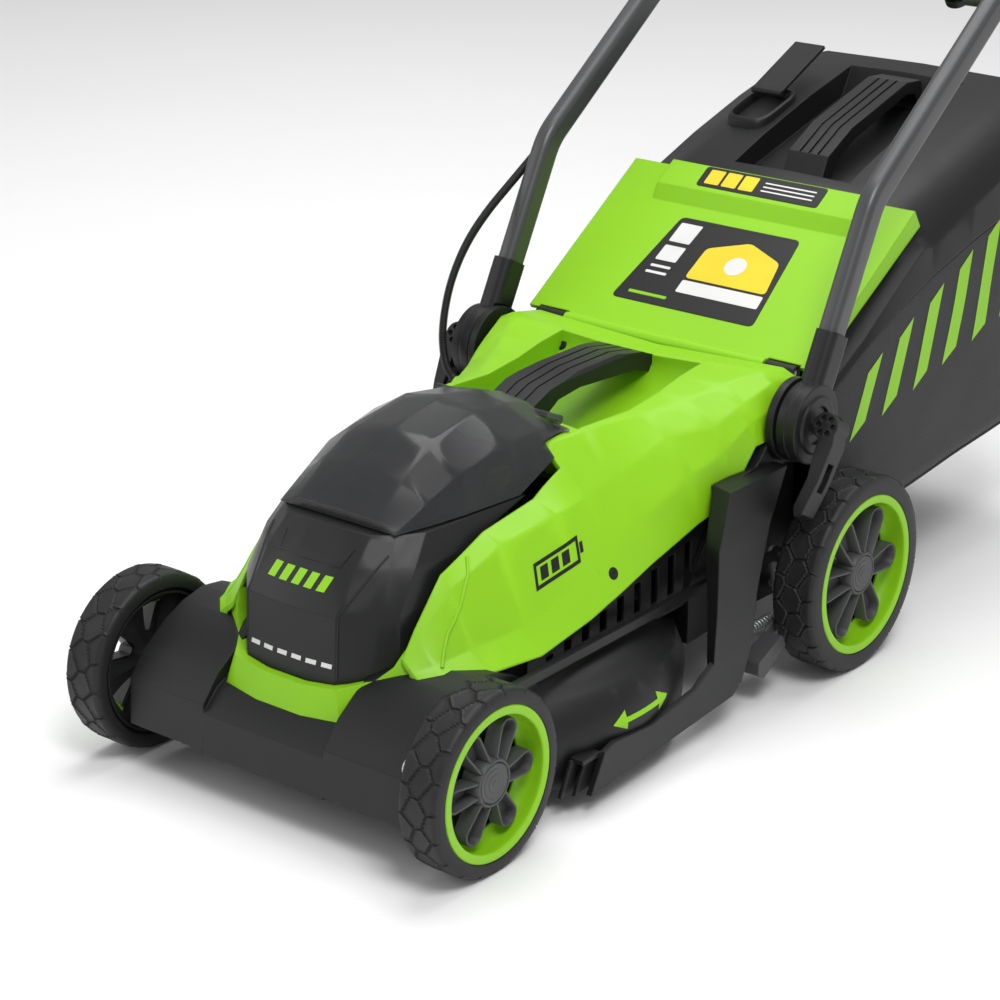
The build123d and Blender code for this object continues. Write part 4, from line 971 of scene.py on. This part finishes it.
def printed_marks():
    """Generic marks: a battery sign on the sides, bars on the nose and a width arrow on the blade housing."""
    for side_name, ray in (("left", from_left), ("right", from_right)):
        for i, quad in enumerate(slanted((136, 171), 0.16, 0.25, BATTERY_SIGN)):
            drape(f"battery_sign_{side_name}_{i}", quad, ray, "hood", "lime_plastic", "black_plastic")
        for i, quad in enumerate(slanted((160, 55), 0.0, 0.0, ARROW_BAR)):
            drape(f"width_bar_{side_name}_{i}", quad, ray, "deck_shell", "black_plastic", "lime_plastic")
        for i, (tip, root) in enumerate(ARROW_HEADS):
            quad = [(tip, 64), (root, 56), (root, 72), (tip, 64.2)]
            drape(f"width_head_{side_name}_{i}", quad, ray, "deck_shell", "black_plastic", "lime_plastic")
    for i, quad in enumerate(slanted((0, 190), 0.0, 0.3, NOSE_BARS)):
        drape(f"nose_bar_{i}", quad, from_front, "nose_cover", "dark_plastic", "lime_plastic")
    for i, quad in enumerate(slanted((0, 133), 0.0, 0.2, NOSE_DASHES)):
        drape(f"nose_dash_{i}", quad, from_front, "nose_cover", "dark_plastic", "label_white")


printed_marks()


NOSE_EDGE = [(47.5, 124 + 4 * i) for i in range(14)] + [(47.5 + 2.2 * i, 178 + 6.5 * i) for i in range(7)]
NOSE_PANEL = [(36, 220), (32, 208), (0, 208)]
HOOD_CREASE = [(33, 138), (41, 148), (49, 159), (58, 168), (67, 178), (82, 198), (90, 207), (97, 215),
               (108, 222), (120, 226), (135, 227), (149, 228), (165, 229), (180, 230)]


def beads():
    """Moulded beads: both edges of the nose's front face, the outline of its panel and the hood's crease."""
    for name, places in (("nose_edge", NOSE_EDGE), ("nose_panel", NOSE_PANEL)):
        for side_name, side in (("left", 1), ("right", -1)):
            own_side = [(side * a, b) for a, b in places]
            surface_bead(f"{name}_{side_name}", own_side, from_front, "nose_cover", "dark_plastic", 0.9)
    for side_name, ray in (("left", from_left), ("right", from_right)):
        surface_bead(f"hood_crease_{side_name}", HOOD_CREASE, ray, "hood", "lime_plastic", 1.6)


beads()

# The outer ring, from 5.2 mm in to 4.2 mm, is painted shade: it is black to stand for the shadow in the
# hood's recess round the screw.
# (radius, rise above the hood, six-sided)
SCREW_PROFILE = [
    (5.2, -0.6, False), (5.2, 0.25, False), (4.4, 0.35, False), (4.2, 0.05, False), (3.9, 0.05, False),
    (3.7, 0.6, False), (2.4, 0.75, False), (2.1, 0.7, True), (1.9, 0.1, True),
]


def screw_head(name, place, ray):
    """Hexagon-socket head in a black ring, standing just proud of the hood; the ring is painted shade for the
    hood's recess round the screw.
    """
    met = surface_of("hood")(*ray(*place))
    if met is None:
        return
    centre, up = met
    side = up.orthogonal().normalized()
    other = up.cross(side)
    b = Builder()
    rows = []
    for radius, rise, six_sided in SCREW_PROFILE:
        loop = []
        for k in range(24):
            a = 2 * math.pi * k / 24
            reach = radius
            if six_sided:
                reach = radius * math.cos(math.pi / 6) / math.cos(a % (math.pi / 3) - math.pi / 6)
            loop.append(centre + (side * math.cos(a) + other * math.sin(a)) * reach * MM + up * rise * MM)
        rows.append(b.row(loop))
    b.skin(rows)
    b.cap(rows[-1])
    make_piece(name, b.points, b.faces, "deck", "dark_plastic", (), 30, "black_steel")


for side_name, side, side_ray in (("left", 1, from_left), ("right", -1, from_right)):
    screw_head(f"hood_screw_head_top_{side_name}", (75 * side, 434), from_top)
    screw_head(f"hood_screw_head_side_{side_name}", (219, 163), side_ray)


# ---------------------------------------------------------------- grass box details
def skirt_slots():
    """Dark slots along the lower edge of the lid, where the fabric hooks on."""
    outline = rounded([(0, 0), (30, 0), (30, 4), (0, 4)], 1.6)
    slope = 0.11
    for side_name, side in (("left", 1), ("right", -1)):
        for i, y in enumerate((690, 745, 800, 855)):
            z = on_line(LID_LINE, y, 2) + 7

            def place(a, b, lift, y=y, z=z):
                return at(side * (bag_half_width(y + a) - 2.3 + lift), y + a, z + b + a * slope)
            plate(f"skirt_slot_{side_name}_{i}", outline, place, 0.5, "grass_box",
                  "black_plastic", "black_steel")


skirt_slots()

CUP_X, CUP_Y, CUP_SLOPE = -95.0, 782.0, 0.27
CUP_FLOOR_Z = 404.6
# (share of the outline, z)
CUP_PROFILE = [(1.00, 399), (1.00, 412), (0.96, 415), (0.86, 416), (0.80, 413), (0.76, 404), (0.02, 403)]


def indicator_cup():
    """Rounded cup with a dished, slotted floor under the fill indicator's vane."""
    b = Builder()
    rows = []
    for grow, z in CUP_PROFILE:
        loop = []
        for k in range(48):
            a = 2 * math.pi * k / 48
            across = abs(math.cos(a)) ** 0.5 * math.copysign(24.0, math.cos(a)) * grow
            back = abs(math.sin(a)) ** 0.5 * math.copysign(36.0, math.sin(a)) * grow
            loop.append(at(CUP_X + across, CUP_Y + back, z + CUP_SLOPE * back))
        rows.append(b.row(loop))
    b.skin(rows)
    b.cap(rows[0])
    make_piece("fill_indicator_cup", b.points, b.faces, "grass_box", "black_plastic", (), 40)
    slot = rounded([(-1.4, -4), (1.4, -4), (1.4, 4), (-1.4, 4)], 1.2)
    for i in range(5):
        for j in range(4):
            u, v = -13 + 6.5 * i, -20 + 13 * j

            def place(a, c, lift, u=u, v=v):
                return at(CUP_X + u + a, CUP_Y + v + c, CUP_FLOOR_Z + CUP_SLOPE * (v + c) + lift)
            plate(f"indicator_slot_{i}_{j}", slot, place, 0.3, "grass_box", "black_plastic", "black_steel")


indicator_cup()


# ---------------------------------------------------------------- pivots
PIVOT_Y, PIVOT_Z = 449.0, 237.0
PIVOT_STEPS = 96
# (radius, x)
PIVOT_PROFILE = [(35.15, 169.6), (35.4, 170.4), (35.4, 178.0), (34.0, 178.8), (34.0, 180.0), (35.2, 180.8),
                 (35.2, 187.4), (34.2, 188.4), (26.0, 188.6), (24.5, 190.4), (17.0, 190.6), (16.0, 188.4)]


def pivot_trim():
    """Moulded bands on the drums: two bands with a groove between them, and a raised ring on the face."""
    for side_name, side in (("left", 1), ("right", -1)):
        b = Builder()
        rows = []
        for radius, x in PIVOT_PROFILE:
            loop = []
            for k in range(PIVOT_STEPS):
                a = 2 * math.pi * k / PIVOT_STEPS
                loop.append(at(side * x, PIVOT_Y + radius * math.cos(a), PIVOT_Z + radius * math.sin(a)))
            rows.append(b.row(loop))
        b.skin(rows)
        make_piece(f"pivot_band_{side_name}", b.points, b.faces, "lower_handle", "black_plastic", (), 30)


pivot_trim()


# ---------------------------------------------------------------- stage, light and camera
def make_stage():
    """Pale flat floor, wide enough to fill the view."""
    mesh = bpy.data.meshes.new("studio_floor")
    rim = 40.0
    mesh.from_pydata([(-rim, -rim, 0), (rim, -rim, 0), (rim, rim, 0), (-rim, rim, 0)], [], [(0, 1, 2, 3)])
    floor = bpy.data.objects.new("studio_floor", mesh)
    bpy.context.scene.collection.objects.link(floor)
    n = Nodes("studio_floor")
    tint = n.ramp(n.noise(0.6), [(0.3, (0.86, 0.86, 0.86)), (0.7, (0.90, 0.90, 0.90))])
    n.link(tint, n.shader.inputs["Base Color"])
    n.shader.inputs["Roughness"].default_value = 0.75
    floor.data.materials.append(n.material)


def area_light(name, place, aim, size, power):
    """Soft rectangular light looking at a point."""
    data = bpy.data.lights.new(name, "AREA")
    data.shape = "RECTANGLE"
    data.size, data.size_y = size
    data.energy = power
    lamp = bpy.data.objects.new(name, data)
    lamp.location = place
    lamp.rotation_mode = "QUATERNION"
    lamp.rotation_quaternion = (Vector(aim) - Vector(place)).to_track_quat("-Z", "Y")
    bpy.context.scene.collection.objects.link(lamp)


def make_world():
    """Even white light from all round."""
    world = bpy.data.worlds.new("studio")
    world.use_nodes = True
    sky = world.node_tree.nodes["Background"]
    sky.inputs["Color"].default_value = (1, 1, 1, 1)
    sky.inputs["Strength"].default_value = 0.46
    bpy.context.scene.world = world


CAMERA_AZIMUTH = math.radians(38.54)
CAMERA_ELEVATION = math.radians(21.44)
CAMERA_PLACE = (1352.996, -1448.465, 1035.645)
LENS = 98.63


def make_camera():
    """Camera in front of the machine, to its left and above it."""
    data = bpy.data.cameras.new("camera")
    data.lens = LENS
    data.sensor_width = 36.0
    camera = bpy.data.objects.new("camera", data)
    camera.location = at(*CAMERA_PLACE)
    level = math.cos(CAMERA_ELEVATION)
    ahead = Vector((-math.sin(CAMERA_AZIMUTH) * level, math.cos(CAMERA_AZIMUTH) * level,
                    -math.sin(CAMERA_ELEVATION)))
    camera.rotation_mode = "QUATERNION"
    camera.rotation_quaternion = ahead.to_track_quat("-Z", "Y")
    bpy.context.scene.collection.objects.link(camera)
    bpy.context.scene.camera = camera


make_stage()
make_world()
area_light("key", (1.7, -1.5, 3.2), (0.0, -0.1, 0.3), (1.3, 1.3), 66)
area_light("fill", (-2.6, -2.4, 1.8), (0.0, -0.2, 0.3), (2.2, 1.6), 16)
area_light("top", (-0.3, 0.6, 3.4), (0.0, 0.0, 0.3), (2.4, 2.4), 70)
make_camera()
bpy.context.scene.view_settings.view_transform = "Standard"
